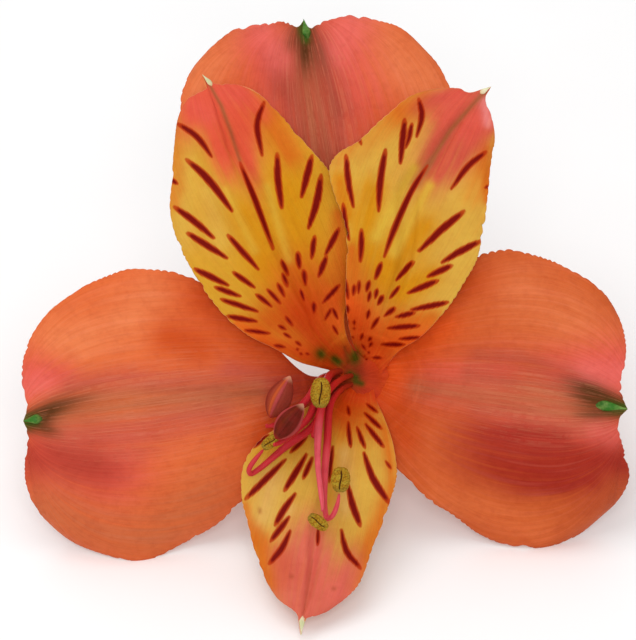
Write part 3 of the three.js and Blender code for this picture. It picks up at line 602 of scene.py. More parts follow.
class TepalSettings(bpy.types.PropertyGroup):
    """Sizes and colours of the six tepals"""

    thickness: bpy.props.FloatProperty(
        name="Thickness", description="Thickness of a blade in the middle, in millimetres", default=0.44,
        min=0.2, max=0.6)
    rim_thickness: bpy.props.FloatProperty(
        name="Rim thickness", description="Thickness of a blade at its margin, in millimetres", default=0.16,
        min=0.05, max=0.4)
    tooth: bpy.props.FloatProperty(
        name="Teeth", description="Depth of the fine teeth on the outer margins, in millimetres", default=0.2,
        min=0.0, max=0.4)
    tooth_pitch: bpy.props.FloatProperty(
        name="Tooth pitch", description="Distance from tooth to tooth, in millimetres", default=0.95,
        min=0.3, max=3.0)
    streak_colour: bpy.props.FloatVectorProperty(
        name="Streaks", description="Colour of the dark streaks", subtype="COLOR", size=3,
        default=(0.17, 0.003, 0.001), min=0, max=1)
    streak_edge: bpy.props.FloatVectorProperty(
        name="Streak edges", description="Colour that a streak fades out through", subtype="COLOR", size=3,
        default=(0.40, 0.024, 0.001), min=0, max=1)
    gloss: bpy.props.FloatProperty(
        name="Roughness", description="Roughness of the tepals' skin", default=0.5, min=0, max=1,
        subtype="FACTOR")


class StamenSettings(bpy.types.PropertyGroup):
    """Colours of filaments, style and anthers"""

    filament_colour: bpy.props.FloatVectorProperty(
        name="Filaments", description="Colour of the filaments and the style", subtype="COLOR", size=3,
        default=(0.50, 0.013, 0.018), min=0, max=1)
    filament_light: bpy.props.FloatVectorProperty(
        name="Filament blush", description="Lighter colour half way up a filament", subtype="COLOR", size=3,
        default=(0.70, 0.10, 0.13), min=0, max=1)
    pollen_colour: bpy.props.FloatVectorProperty(
        name="Pollen", description="Colour of the pollen on open anthers", subtype="COLOR", size=3,
        default=(0.36, 0.17, 0.008), min=0, max=1)
    closed_colour: bpy.props.FloatVectorProperty(
        name="Closed anthers", description="Colour of the closed anthers", subtype="COLOR", size=3,
        default=(0.13, 0.008, 0.005), min=0, max=1)
    grain: bpy.props.FloatProperty(
        name="Pollen grain", description="Distance between pollen clumps, in millimetres", default=0.3,
        min=0.1, max=0.6)


class StemSettings(bpy.types.PropertyGroup):
    """Colours of ovary and stalk"""

    green: bpy.props.FloatVectorProperty(
        name="Green", description="Colour of the ovary and the stalk", subtype="COLOR", size=3,
        default=(0.13, 0.23, 0.06), min=0, max=1)
    cut_colour: bpy.props.FloatVectorProperty(
        name="Cut end", description="Colour of the stalk where it was cut", subtype="COLOR", size=3,
        default=(0.50, 0.55, 0.30), min=0, max=1)


class StageSettings(bpy.types.PropertyGroup):
    """Camera, floor and light"""

    lens: bpy.props.FloatProperty(
        name="Lens", description="Focal length of the camera", default=600.0, min=50, max=1000,
        subtype="DISTANCE_CAMERA")
    floor_colour: bpy.props.FloatVectorProperty(
        name="Floor", description="Colour of the surface that the bloom lies on", subtype="COLOR", size=3,
        default=(0.97, 0.97, 0.97), min=0, max=1)
    key_strength: bpy.props.FloatProperty(
        name="Key light", description="Power of the large light overhead", default=1.15, min=0, max=50)
    fill_strength: bpy.props.FloatProperty(
        name="Fill light", description="Power of the light behind the camera", default=4.7, min=0, max=50)
    sky_strength: bpy.props.FloatProperty(
        name="Surrounding light", description="Strength of the even light from all round", default=0.67,
        min=0, max=5)


# Numbers

def ease(x, start, end):
    k = np.clip((np.asarray(x, float) - start) / (end - start), 0, 1)
    return k * k * (3 - 2 * k)


def mix(a, b, k):
    return a + (b - a) * k


def unit(v):
    v = np.asarray(v, float)
    return v / np.maximum(np.linalg.norm(v, axis=-1, keepdims=True), 1e-12)


def linear(colour):
    """A colour given from 0 to 255 as the linear colour that a shader takes."""
    c = np.array(colour, float) / 255
    c = np.where(c <= 0.04045, c / 12.92, ((c + 0.055) / 1.055) ** 2.4)
    return (*c, 1.0)


def paint(label):
    """A named colour as a shader takes it."""
    return linear(COLOURS[label])


def face(points):
    """Points of the face view as u, v, 0 about the throat."""
    p = np.atleast_2d(np.array(points, float))
    u, v = (p[:, 0] - THROAT[0]) * FACE_UNIT, (THROAT[1] - p[:, 1]) * FACE_UNIT
    return np.column_stack([u, v, np.zeros(len(p))])


def in_face_view(points):
    """Where points of the bloom's own frame show in the face view, x and y."""
    return points[..., 0] / FACE_UNIT + THROAT[0], THROAT[1] - points[..., 1] / FACE_UNIT


def on_ring(radius, degrees, w):
    turn = math.radians(degrees)
    return np.array([radius * math.cos(turn), radius * math.sin(turn), w])


def to_world(points):
    """Points of the bloom's own frame, in millimetres, as the row frame's points, in metres."""
    p = np.asarray(points, float)
    s, c = math.sin(FACE_ELEVATION), math.cos(FACE_ELEVATION)
    u, v, w = p[..., 0], p[..., 1], p[..., 2]
    return (np.stack([u, v * s - w * c, v * c + w * s], axis=-1) + STANDS_AT) / 1000


class Curve:
    """A centripetal curve through points, read by the share of its length."""

    def __init__(self, points, steps=40):
        p = np.asarray(points, float)
        p = np.vstack([2 * p[0] - p[1], p, 2 * p[-1] - p[-2]])
        t = np.linspace(0, 1, steps, endpoint=False)[:, None]
        line = []
        for p0, p1, p2, p3 in zip(p[:-3], p[1:-2], p[2:-1], p[3:]):
            d0, d1, d2 = (max(1e-4, math.sqrt(np.linalg.norm(b - a)))
                          for a, b in ((p0, p1), (p1, p2), (p2, p3)))
            m1 = ((p1 - p0) / d0 - (p2 - p0) / (d0 + d1) + (p2 - p1) / d1) * d1
            m2 = ((p2 - p1) / d1 - (p3 - p1) / (d1 + d2) + (p3 - p2) / d2) * d1
            line.append(p1 + m1 * t + (3 * (p2 - p1) - 2 * m1 - m2) * t**2 + (2 * (p1 - p2) + m1 + m2) * t**3)
        self.line = np.vstack([*line, p[-2:-1]])
        steps_long = np.linalg.norm(np.diff(self.line, axis=0), axis=1)
        self.way = np.concatenate([[0], np.cumsum(steps_long)])
        self.length = self.way[-1]

    def at(self, share):
        x = np.clip(share, 0, 1) * self.length
        return np.stack([np.interp(x, self.way, self.line[:, i]) for i in range(self.line.shape[1])], axis=-1)


def along_stroke(x, y, points):
    """How far face-view places lie from a line of points, and how far along it the nearest point is."""
    p = np.array(points, float)
    parts = np.linalg.norm(np.diff(p, axis=0), axis=1)
    start = np.concatenate([[0], np.cumsum(parts)])
    best, where = np.full(np.shape(x), np.inf), np.zeros(np.shape(x))
    for a, b, part, from_start in zip(p[:-1], p[1:], parts, start):
        k = np.clip(((x - a[0]) * (b[0] - a[0]) + (y - a[1]) * (b[1] - a[1])) / part**2, 0, 1)
        d = np.hypot(x - mix(a[0], b[0], k), y - mix(a[1], b[1], k))
        nearer = d < best
        best = np.where(nearer, d, best)
        where = np.where(nearer, (from_start + k * part) / start[-1], where)
    return best, where


def tint_mask(x, y, tint):
    """The share of one tint at face-view places."""
    label, strength, strokes = tint
    left = np.ones(np.shape(x))
    for *points, first, last in strokes:
        d, k = along_stroke(x, y, points)
        share = 1 - ease(k, FADES_FROM, 1.0) if label in FADING else 1.0
        left = left * (1 - share * np.exp(-((d / mix(first, last, k)) ** 2)))
    return strength * (1 - left)


def packed_tints(masks):
    """Tint masks as mesh attributes, three to each."""
    masks = masks + [0 * masks[0]] * (-len(masks) % 3)
    return {f"tint_{i // 3 + 1}": np.stack(masks[i:i + 3], axis=-1) for i in range(0, len(masks), 3)}


def streak_mask(x, y, streaks):
    """A half at the border of a streak, more inside and less outside, by one over the width of its border.

    The end away from the throat never rises far over a half, so that it stays red.
    """
    shape = STREAK
    mask = np.zeros(np.shape(x))
    for *points, width in streaks:
        first, last = np.array(points[0]), np.array(points[-1])
        if np.linalg.norm(first - THROAT) < np.linalg.norm(last - THROAT):
            points = points[::-1]
        if len(points) > 2:
            points = Curve(points).at(np.linspace(0, 1, shape["bent_points"]))
        d, k = along_stroke(x, y, points)
        swell = np.sin(math.pi * k**shape["swell_place"]) ** shape["swell_power"]
        half = width / 2 * mix(shape["end_width"], 1.0, swell)
        red_end = shape["red_peak"] + ease(k, 0.0, shape["red_share"])
        mask = np.maximum(mask, np.minimum(0.5 + (half - d) / shape["border"], red_end))
    return np.clip(mask, 0, 1)


# Meshes

def petal_slot(name):
    if name.startswith("outer"):
        return "outer_petal"
    return "inner_petal_lower" if name.endswith("lower") else "inner_petal_upper"


def make_piece(name, points, faces, masks, material, slot, *nodes):
    """A smooth mesh piece from points in the bloom's frame, with masks for its shader, put on the frame."""
    mesh = bpy.data.meshes.new(name)
    mesh.from_pydata(to_world(points).tolist(), [], faces)
    for label, values in masks.items():
        values = np.asarray(values, np.float32)
        kind, field = ("FLOAT", "value") if values.ndim == 1 else ("FLOAT_VECTOR", "vector")
        mesh.attributes.new(label, kind, "POINT").data.foreach_set(field, values.ravel())
    mesh.polygons.foreach_set("use_smooth", [True] * len(mesh.polygons))
    mesh.materials.append(material)
    mesh.validate()
    mesh.update()
    piece = bpy.data.objects.new(name, mesh)
    bpy.context.scene.collection.objects.link(piece)
    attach(piece, BODY)
    if nodes:
        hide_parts(*nodes)


def ring_faces(rings, sides):
    """Faces of a skin of rings with a point to close each end, which come after the rings."""
    faces = []
    for r in range(rings - 1):
        a, b = r * sides, (r + 1) * sides
        faces += [(a + i, a + (i + 1) % sides, b + (i + 1) % sides, b + i) for i in range(sides)]
    start, end, last = rings * sides, rings * sides + 1, (rings - 1) * sides
    faces += [(start, (i + 1) % sides, i) for i in range(sides)]
    faces += [(end, last + i, last + (i + 1) % sides) for i in range(sides)]
    return faces


def carried_frames(line):
    """Two directions across a line of points, carried along it without turning."""
    along = unit(np.gradient(line, axis=0))
    steep = abs(along[0, 2]) >= 0.9
    across = [unit(np.cross(along[0], (1.0, 0.2, 0) if steep else (0.3, 0.2, 1.0)))]
    for t in along[1:]:
        across.append(unit(across[-1] - np.dot(across[-1], t) * t))
    across = np.array(across)
    return across, np.cross(along, across)


def tube(path, radius_at, rings, sides):
    """Points and faces of a round stem with domed ends, and how far along each point is."""
    curve = Curve(path)
    x = np.linspace(0, 1, rings)
    line = curve.at(x)
    across, up = carried_frames(line)
    turn = 2 * math.pi * np.arange(sides) / sides
    radius = radius_at(x[:, None], turn[None, :])
    from_end = np.minimum(x, 1 - x) * curve.length / radius.mean()
    dome = np.sqrt(np.clip(1 - (1 - from_end).clip(0) ** 2, DOME_TOP, 1))
    radius = radius * dome[:, None]
    points = (line[:, None] + across[:, None] * (radius * np.cos(turn))[..., None]
              + up[:, None] * (radius * np.sin(turn))[..., None])
    points = np.vstack([points.reshape(-1, 3), line[0], line[-1]])
    share = np.concatenate([np.repeat(x, sides), [0, 1]])
    return points, ring_faces(rings, sides), share


def from_far_side(rings, sides):
    """How far round a tube each point is: 0 on its far side, 1 on its near side."""
    turn = np.concatenate([np.tile(np.arange(sides) / sides, rings), [0, 0]])
    return np.abs(turn - 0.5) * 2


# The tepals' form

def trumpet(whorl, radius):
    """The height of a whorl's blades at a distance from the axis: a steep throat, then a flare."""
    out = np.maximum(0, radius - whorl["claw_radius"])
    return (whorl["throat_height"] * (1 - np.exp(-out / whorl["throat_reach"]))
            + whorl["flare_height"] * (1 - np.exp(-out / whorl["flare_reach"])))


def margin(tepal, side):
    """One margin of a blade as a curve across the face, from the ring of claws to the tip."""
    whorl = tepal["whorl"]
    turn = tepal["claw"] + (1 if side == "left" else -1) * whorl["claw_half_angle"]
    return Curve(np.vstack([on_ring(whorl["claw_radius"], turn, 0), face(tepal[side]), face(tepal["tip"])]))


def midrib(tepal, s):
    """Where the midrib runs across the blade at s. It leans most at half the blade's length."""
    return tepal["lean"] * 4 * s * (1 - s)


def blade_middle(tepal, margins, s, a):
    """The middle of the blade at s from claw to end and a from -1 on the right margin to 1 on the left."""
    s, a = np.broadcast_arrays(s, a)
    whorl, shoulder = tepal["whorl"], tepal["shoulder"]
    k = ((a + 1) / 2)[..., None]
    right, left = (margins[side].at(s * shoulder) for side in ("right", "left"))
    end_right, end_left = (margins[side].at(shoulder) for side in ("right", "left"))
    at_end = 1 - (1 - shoulder) * np.abs(a)
    end = np.where(a[..., None] > 0, margins["left"].at(at_end), margins["right"].at(at_end))
    axis = on_ring(1, tepal["claw"], 0)
    angles = [np.arctan2(axis[0] * m[..., 1] - axis[1] * m[..., 0], axis[0] * m[..., 0] + axis[1] * m[..., 1])
              for m in (right, left)]
    angle = mix(angles[0], angles[1], k[..., 0]) + math.radians(tepal["claw"])
    reach = mix(np.linalg.norm(right, axis=-1), np.linalg.norm(left, axis=-1), k[..., 0])
    bowed = np.stack([reach * np.cos(angle), reach * np.sin(angle), 0 * reach], axis=-1)
    p = mix(bowed, mix(right, left, k), ease(s, *BOW_TO_STRAIGHT)[..., None])
    p = p + (end - mix(end_right, end_left, k)) * (s**END_GROWTH)[..., None]

    radius = np.linalg.norm(p, axis=-1)
    out = np.abs(a)
    side = np.where(a > 0, 0, 1)
    back = np.where(a > 0, *tepal["back"])
    lift = np.where(a > 0, *tepal["lift"])
    spread = ease(radius, *SPREAD)
    off_rib = (a - midrib(tepal, s)) / GROOVE_WIDTH
    groove = np.exp(-off_rib**2) * ease(radius, *GROOVE_FROM_AXIS) * ease(1 - s, 0, GROOVE_END)
    wave = np.sin(2 * math.pi * WAVES * s + side * WAVE_SHIFT) * out**WAVE_POWER
    p[..., 2] = (SEAT_GAP * ease(s, 0, SEATED) + trumpet(whorl, radius)
                 - back * out**SWEEP_POWER * spread
                 + lift * ease(out, *LAP_ACROSS) * ease(radius, *LAP_FROM_AXIS)
                 + tepal["tip_rise"] * ease(s, *TIP_RISE) ** TIP_RISE_POWER
                 - tepal["groove"] * groove
                 + tepal["wave"] * wave * spread)
    return p


def meridians(tepal, points):
    """Where points lie among veins that run from the throat to the tip: across, -1 to 1 or so, and along."""
    tip = face(tepal["tip"])[0][:2]
    length = np.linalg.norm(tip)
    axis = tip / length
    along = (points[..., 0] * axis[0] + points[..., 1] * axis[1]) / length
    aside = (axis[0] * points[..., 1] - axis[1] * points[..., 0]) / length
    k = np.clip(along, 0.0, 1.0)
    swell = VEINS["swell"] * k ** VEINS["parting"] * (1 - k) ** VEINS["closing"]
    return aside / (0.5 * np.sqrt(swell**2 + VEINS["least"])), along


def throat_level(radius, whorl_name):
    """The height of the throat's bowl, which falls away from the blades between its ends."""
    shape = THROAT_FLESH
    on_axis, rise = shape[whorl_name]
    start, end = shape[whorl_name + "_ends"]
    return on_axis + rise * np.minimum(radius, end) ** 2 - shape["drop"] * ease(radius, start, end)


def filled_throat(front, radius, whorl):
    """Lifts the front of a blade to the bowl of the throat where it would lie lower."""
    shape = THROAT_FLESH
    claw_at = whorl["claw_radius"]
    level = throat_level(radius, whorl["name"])
    level = level - shape["dip"] * (1 - ease(radius, claw_at, claw_at + shape["dip_width"]))
    lifted = front.copy()
    lifted[..., 2] = level + shape["softness"] * np.logaddexp(0, (front[..., 2] - level) / shape["softness"])
    return lifted


def blade_relief(tepal, s, a, radius, vein):
    """How far fine ribs and swellings stand off the blade's middle surface."""
    shape = RELIEF
    few, many = shape["ribs"]
    ribs = 0.5 * np.cos(2 * math.pi * few * vein) + 0.5 * np.cos(2 * math.pi * many * vein + 1)
    open_part = ease(radius, *shape["open_part"])
    if tepal["whorl"] is INNER:
        off_rib = np.abs(a - midrib(tepal, s))
        beside = np.exp(-(((off_rib - shape["beside_rib"]) / shape["beside_width"]) ** 2))
        swelling = shape["beside_height"] * beside * open_part * ease(1 - s, *shape["beside_end"])
        return swelling + shape["inner_height"] * ribs * open_part
    band = np.exp(-((vein / shape["band_width"]) ** 2)) * ease(1 - s, 0, shape["band_end"])
    return shape["outer_height"] * ribs * (shape["outer_least"] + band) * open_part


def ripples(way, waves):
    """A sum of waves, each given by its height, the length of a radian and its shift."""
    return sum(height * np.sin(way / length + shift) for height, length, shift in waves)


def margin_teeth(rim, depth, pitch, rng):
    """How far each point of the rim is pushed out: uneven rounded teeth, and a few bites."""
    shape = TEETH
    steps = np.linalg.norm(np.diff(np.vstack([rim, rim[:1]]), axis=0), axis=1)
    way = np.concatenate([[0], np.cumsum(steps)])[:-1]
    place = way / pitch + ripples(way, shape["drift"]) + shape["first"]
    size = rng.uniform(shape["least"], 1.0, int(place.max()) + 2)
    tooth = np.abs(np.sin(math.pi * place)) ** shape["roundness"]
    teeth = size[place.astype(int)] * (tooth - shape["level"])
    teeth = teeth + shape["ripple"] * ripples(way, shape["ripples"])
    bites = sum(np.exp(-(((way - bite) / shape["bite_width"]) ** 2))
                for bite in rng.uniform(0, way[-1], shape["bites"]))
    return depth * teeth - shape["bite_depth"] * bites


def rim_of(rows, columns):
    """The rows and the columns of the points round the edge of a grid, in order."""
    rim = ([(0, c) for c in range(columns)] + [(r, columns) for r in range(rows)]
           + [(rows, c) for c in range(columns, 0, -1)] + [(r, 0) for r in range(rows, 0, -1)])
    return tuple(np.array(i) for i in zip(*rim))


def front_directions(middle):
    """Which way the front of a blade looks. Its last rows crowd at the tip and take the row before them."""
    rows = len(middle) - 1
    row_at = np.minimum(np.arange(rows + 1), rows - 3)
    along = middle[row_at + 1] - middle[np.maximum(0, row_at - 1)]
    across = np.empty_like(middle)
    across[:, 1:-1] = middle[:, 2:] - middle[:, :-2]
    across[:, 0], across[:, -1] = middle[:, 1] - middle[:, 0], middle[:, -1] - middle[:, -2]
    return unit(np.cross(along, across[row_at]))


def blade_faces(rows, columns, rim):
    """Faces of the front, the back and the lip that joins them: front points first, lip points last."""
    size = (rows + 1) * (columns + 1)
    grid = np.arange(size).reshape(rows + 1, columns + 1)
    p, q, m, n = grid[:-1, :-1], grid[:-1, 1:], grid[1:, 1:], grid[1:, :-1]
    edge = grid[rim]
    lip = 2 * size + np.arange(len(edge))
    edge_after, lip_after = np.roll(edge, -1), np.roll(lip, -1)
    corners = ((p, n, m, q), (p + size, q + size, m + size, n + size),
               (edge, edge_after, lip_after, lip), (lip, lip_after, edge_after + size, edge + size))
    return np.vstack([np.stack(four, axis=-1).reshape(-1, 4) for four in corners]).tolist()


def build_tepal(name, settings, material):
    """One tepal: a thin blade with toothed margins, fleshy in the throat, with masks for its skin."""
    tepal = TEPALS[name]
    whorl, shape = tepal["whorl"], BLADE
    rows, columns = whorl["rows"], whorl["columns"]
    margins = {side: margin(tepal, side) for side in ("left", "right")}
    s = (np.linspace(0, 1, rows + 1) ** shape["row_power"])[:, None]
    a = np.linspace(-1, 1, columns + 1)[None, :]
    a = np.sign(a) * np.abs(a) ** shape["column_power"]
    middle = blade_middle(tepal, margins, s, a)
    s, a = np.broadcast_arrays(s, a)
    radius = np.linalg.norm(middle[..., :2], axis=-1)

    rim = rim_of(rows, columns)
    beside_rim = (np.clip(rim[0], 1, rows - 1), np.clip(rim[1], 1, columns - 1))
    edge = middle[rim]
    outward = unit(edge - middle[beside_rim])
    rng = np.random.default_rng(sum(map(ord, name)))
    push = margin_teeth(edge, settings.tooth * tepal["teeth"], settings.tooth_pitch, rng)
    push = push * ease(rim[0] / rows, *shape["toothed_from"])
    push = push * ease(np.linalg.norm(edge - middle[rows, columns // 2], axis=1), *shape["toothed_off_tip"])
    middle[rim] = edge + outward * push[:, None]
    middle[beside_rim] += outward * (push * shape["beside_push"])[:, None]

    from_rim = np.minimum(ease(1 - np.abs(a), 0, shape["rim_across"]), ease(1 - s, 0, shape["rim_along"]))
    thick = mix(settings.rim_thickness, settings.thickness, from_rim)
    vein, vein_way = meridians(tepal, middle)
    relief = blade_relief(tepal, s, a, radius, vein) * from_rim
    normal = front_directions(middle)
    front = filled_throat(middle + normal * (thick / 2 + relief)[..., None], radius, whorl)
    behind = middle - normal * (thick / 2 - relief * shape["relief_behind"])[..., None]
    lip = (front + behind)[rim] / 2 + outward * settings.rim_thickness * shape["lip"]
    points = np.vstack([front.reshape(-1, 3), behind.reshape(-1, 3), lip])

    def spread_out(values, behind_share=1.0):
        return np.concatenate([values.ravel(), values.ravel() * behind_share, values[rim]])

    x, y = in_face_view(middle)
    side = np.repeat([1.0, 0.0, shape["lip_side"]], [radius.size, radius.size, len(lip)])
    masks = {"blade": np.stack([spread_out(vein), spread_out(vein_way), side], axis=-1),
             "from_axis": spread_out(radius)}
    masks.update(packed_tints([spread_out(tint_mask(x, y, tint)) for tint in tepal["tints"]]))
    if tepal["streaks"]:
        masks["streak"] = spread_out(streak_mask(x, y, tepal["streaks"]), shape["streaks_behind"])
    faces = blade_faces(rows, columns, rim)
    make_piece(name + "_blade", points, faces, masks, material, petal_slot(name), name)


# Shader networks

class Net:
    """Adds nodes to a tree in few words."""

    def __init__(self, tree):
        self.tree = tree
        self.count = 0

    def node(self, kind, **values):
        node = self.tree.nodes.new(kind)
        node.location = (220 * (self.count % 12), -260 * (self.count // 12))
        self.count += 1
        for label, value in values.items():
            setattr(node, label, value)
        return node

    def feed(self, socket, value):
        if isinstance(value, bpy.types.NodeSocket):
            self.tree.links.new(value, socket)
        else:
            socket.default_value = value

    def fed(self, kind, *values, **settings):
        """A new node with its first inputs fed."""
        node = self.node(kind, **settings)
        for socket, value in zip(node.inputs, values):
            self.feed(socket, value)
        return node

    def math(self, operation, *values):
        return self.fed("ShaderNodeMath", *values, operation=operation).outputs[0]

    def product(self, first, *others):
        for value in others:
            first = self.math("MULTIPLY", first, value)
        return first

    def weighed(self, *parts):
        """The sum of values that are given with their weights."""
        first, *others = (self.math("MULTIPLY", value, weight) for value, weight in parts)
        for value in others:
            first = self.math("ADD", first, value)
        return first

    def step(self, value, low, high, out_low=0.0, out_high=1.0):
        """Goes smoothly from out_low to out_high as value goes from low to high."""
        node = self.node("ShaderNodeMapRange", interpolation_type="SMOOTHSTEP")
        for label, given in (("Value", value), ("From Min", low), ("From Max", high), ("To Min", out_low),
                             ("To Max", out_high)):
            self.feed(node.inputs[label], given)
        return node.outputs["Result"]

    def mix(self, share, a, b, blend="MIX"):
        node = self.node("ShaderNodeMix", data_type="RGBA", blend_type=blend)
        self.feed(node.inputs[0], share)
        self.feed(node.inputs[6], a)
        self.feed(node.inputs[7], b)
        return node.outputs[2]

    def lay(self, colour, over, value, low, high, start=0.0, end=1.0, blend="MIX"):
        """Lays one colour over another, with a share from start to end as value goes from low to high."""
        return self.mix(self.step(value, low, high, start, end), colour, over, blend)

    def mask(self, label, output="Fac"):
        """A mask of the mesh, as a value or, with output Vector, as three."""
        node = self.node("ShaderNodeAttribute", attribute_type="GEOMETRY", attribute_name=label)
        return node.outputs[output]

    def split(self, vector):
        return self.fed("ShaderNodeSeparateXYZ", vector).outputs

    def join(self, x, y, z):
        return self.fed("ShaderNodeCombineXYZ", x, y, z).outputs[0]

    def noise(self, vector, scale, detail=2.0, roughness=0.5):
        node = self.node("ShaderNodeTexNoise")
        for label, value in (("Vector", vector), ("Scale", scale), ("Detail", detail),
                             ("Roughness", roughness)):
            self.feed(node.inputs[label], value)
        return node.outputs["Fac"]

    def grain(self, x, y, scales, seed, detail=2.0, roughness=0.5):
        """Noise over two coordinates, each with a scale of its own."""
        place = self.join(self.math("MULTIPLY", x, scales[0]), self.math("MULTIPLY", y, scales[1]), seed)
        return self.noise(place, 1.0, detail, roughness)

    def group(self, tree, **values):
        node = self.node("ShaderNodeGroup", node_tree=tree)
        for label, value in values.items():
            self.feed(node.inputs[label], value)
        return node.outputs


def new_group(name, takes, gives):
    """A shader node group. takes and gives are (name, kind, value) and (name, kind)."""
    tree = bpy.data.node_groups.new(name, "ShaderNodeTree")
    for label, kind, value in takes:
        socket = tree.interface.new_socket(name=label, in_out="INPUT", socket_type="NodeSocket" + kind)
        socket.default_value = value
    for label, kind in gives:
        tree.interface.new_socket(name=label, in_out="OUTPUT", socket_type="NodeSocket" + kind)
    net = Net(tree)
    start, end = net.node("NodeGroupInput"), net.node("NodeGroupOutput")
    return tree, net, start.outputs, end.inputs


def vein_group():
    """Fine uneven fibres that run along the blade: broad soft ones and finer ones."""
    tree, net, takes, gives = new_group(
        "Blade fibres",
        [("Blade", "Vector", (0, 0, 0)), ("Fibres", "Float", 26.0), ("Waver", "Float", 0.6)],
        [("Broad", "Float"), ("Fine", "Float"), ("Lines", "Float")])
    across, along, _ = net.split(takes["Blade"])
    wander = net.grain(across, along, (3.0, 3.0), 7.0)
    place = net.weighed((across, takes["Fibres"]), (wander, takes["Waver"]))
    net.feed(gives["Broad"], net.grain(place, along, (1.0, 2.2), 0.0))
    net.feed(gives["Fine"], net.grain(place, along, (2.7, 7.0), 3.0, 2.0, 0.6))
    ridge = net.math("SUBTRACT", net.grain(place, along, (1.6, 1.6), 9.0, 1.0), 0.5)
    net.feed(gives["Lines"], net.step(net.math("ABSOLUTE", ridge), 0.0, 0.07, 1.0, 0.0))
    return tree


def skin_group():
    """Cell-sized grain of a living surface, and slow patches of lighter and darker tissue."""
    tree, net, takes, gives = new_group(
        "Living skin",
        [("Cell", "Float", 5200.0), ("Patch", "Float", 160.0)],
        [("Cells", "Float"), ("Patches", "Float"), ("Mottle", "Float")])
    place = net.node("ShaderNodeTexCoord").outputs["Object"]
    cells = net.node("ShaderNodeTexVoronoi", feature="SMOOTH_F1")
    net.feed(cells.inputs["Vector"], place)
    net.feed(cells.inputs["Scale"], takes["Cell"])
    net.feed(gives["Cells"], net.math("SUBTRACT", 1.0, cells.outputs["Distance"]))
    net.feed(gives["Patches"], net.noise(place, takes["Patch"], 3.0, 0.55))
    net.feed(gives["Mottle"], net.noise(place, net.math("MULTIPLY", takes["Patch"], 6.0), 3.0, 0.6))
    return tree


def streak_group():
    """A dark core and a red edge from a streak mask, with uneven borders."""
    tree, net, takes, gives = new_group(
        "Nectar streaks",
        [("Mark", "Float", 0.0), ("Grain", "Float", 0.5), ("Softness", "Float", 0.12)],
        [("Core", "Float"), ("Edge", "Float")])
    uneven = net.math("SUBTRACT", takes["Grain"], 0.5)
    near_mark = net.step(takes["Mark"], 0.2, 0.45)
    mark = net.math("ADD", takes["Mark"], net.product(uneven, 0.3, near_mark))
    core = 0.52
    net.feed(gives["Core"], net.step(mark, core, net.math("ADD", core, takes["Softness"])))
    net.feed(gives["Edge"], net.step(mark, 0.27, 0.56))
    return tree


GROUPS = {}


def shared_group(name, make):
    if name not in GROUPS:
        GROUPS[name] = make()
    return GROUPS[name]


def fibres_on(net, count):
    """The fibres of a blade: masks Broad, Fine and Lines."""
    return net.group(shared_group("fibres", vein_group), Blade=net.mask("blade", "Vector"), Fibres=count,
                     Waver=0.8)


def skin_on(net, cell, patch):
    """The skin of a piece: masks Cells, Patches and Mottle. cell and patch are scales."""
    return net.group(shared_group("skin", skin_group), Cell=cell, Patch=patch)


def new_material(name):
    material = bpy.data.materials.new(name)
    material.use_nodes = True
    tree = material.node_tree
    tree.nodes.clear()
    net = Net(tree)
    shader = net.node("ShaderNodeBsdfPrincipled")
    output = net.node("ShaderNodeOutputMaterial")
    tree.links.new(shader.outputs[0], output.inputs["Surface"])
    return material, net, shader.inputs


def bump(net, height, distance):
    node = net.node("ShaderNodeBump")
    net.feed(node.inputs["Height"], height)
    node.inputs["Distance"].default_value = distance
    return node.outputs["Normal"]


def soft_tissue(inputs, glow, weight, scale, roughness, shine):
    """Light that seeps through a petal or stem, glow giving how far it goes for red, green and blue."""
    inputs["Subsurface Weight"].default_value = weight
    inputs["Subsurface Scale"].default_value = scale
    inputs["Subsurface Radius"].default_value = glow
    inputs["Roughness"].default_value = roughness
    inputs["Specular IOR Level"].default_value = shine


def lay_tints(net, colour, tints, fibre):
    """Lays soft tints over a colour, one after the other, each a little frayed along the fibres."""
    for i, (label, _, _) in enumerate(tints):
        if i % 3 == 0:
            held = net.split(net.mask(f"tint_{i // 3 + 1}", "Vector"))
        tint = held[i % 3]
        fray = net.product(net.math("SUBTRACT", fibre, 0.5), FRAY.get(label, USUAL_FRAY),
                           net.step(tint, 0.02, 0.5))
        clamp = net.fed("ShaderNodeClamp", net.math("ADD", tint, fray))
        colour = net.mix(clamp.outputs[0], colour, paint(label))
    return colour


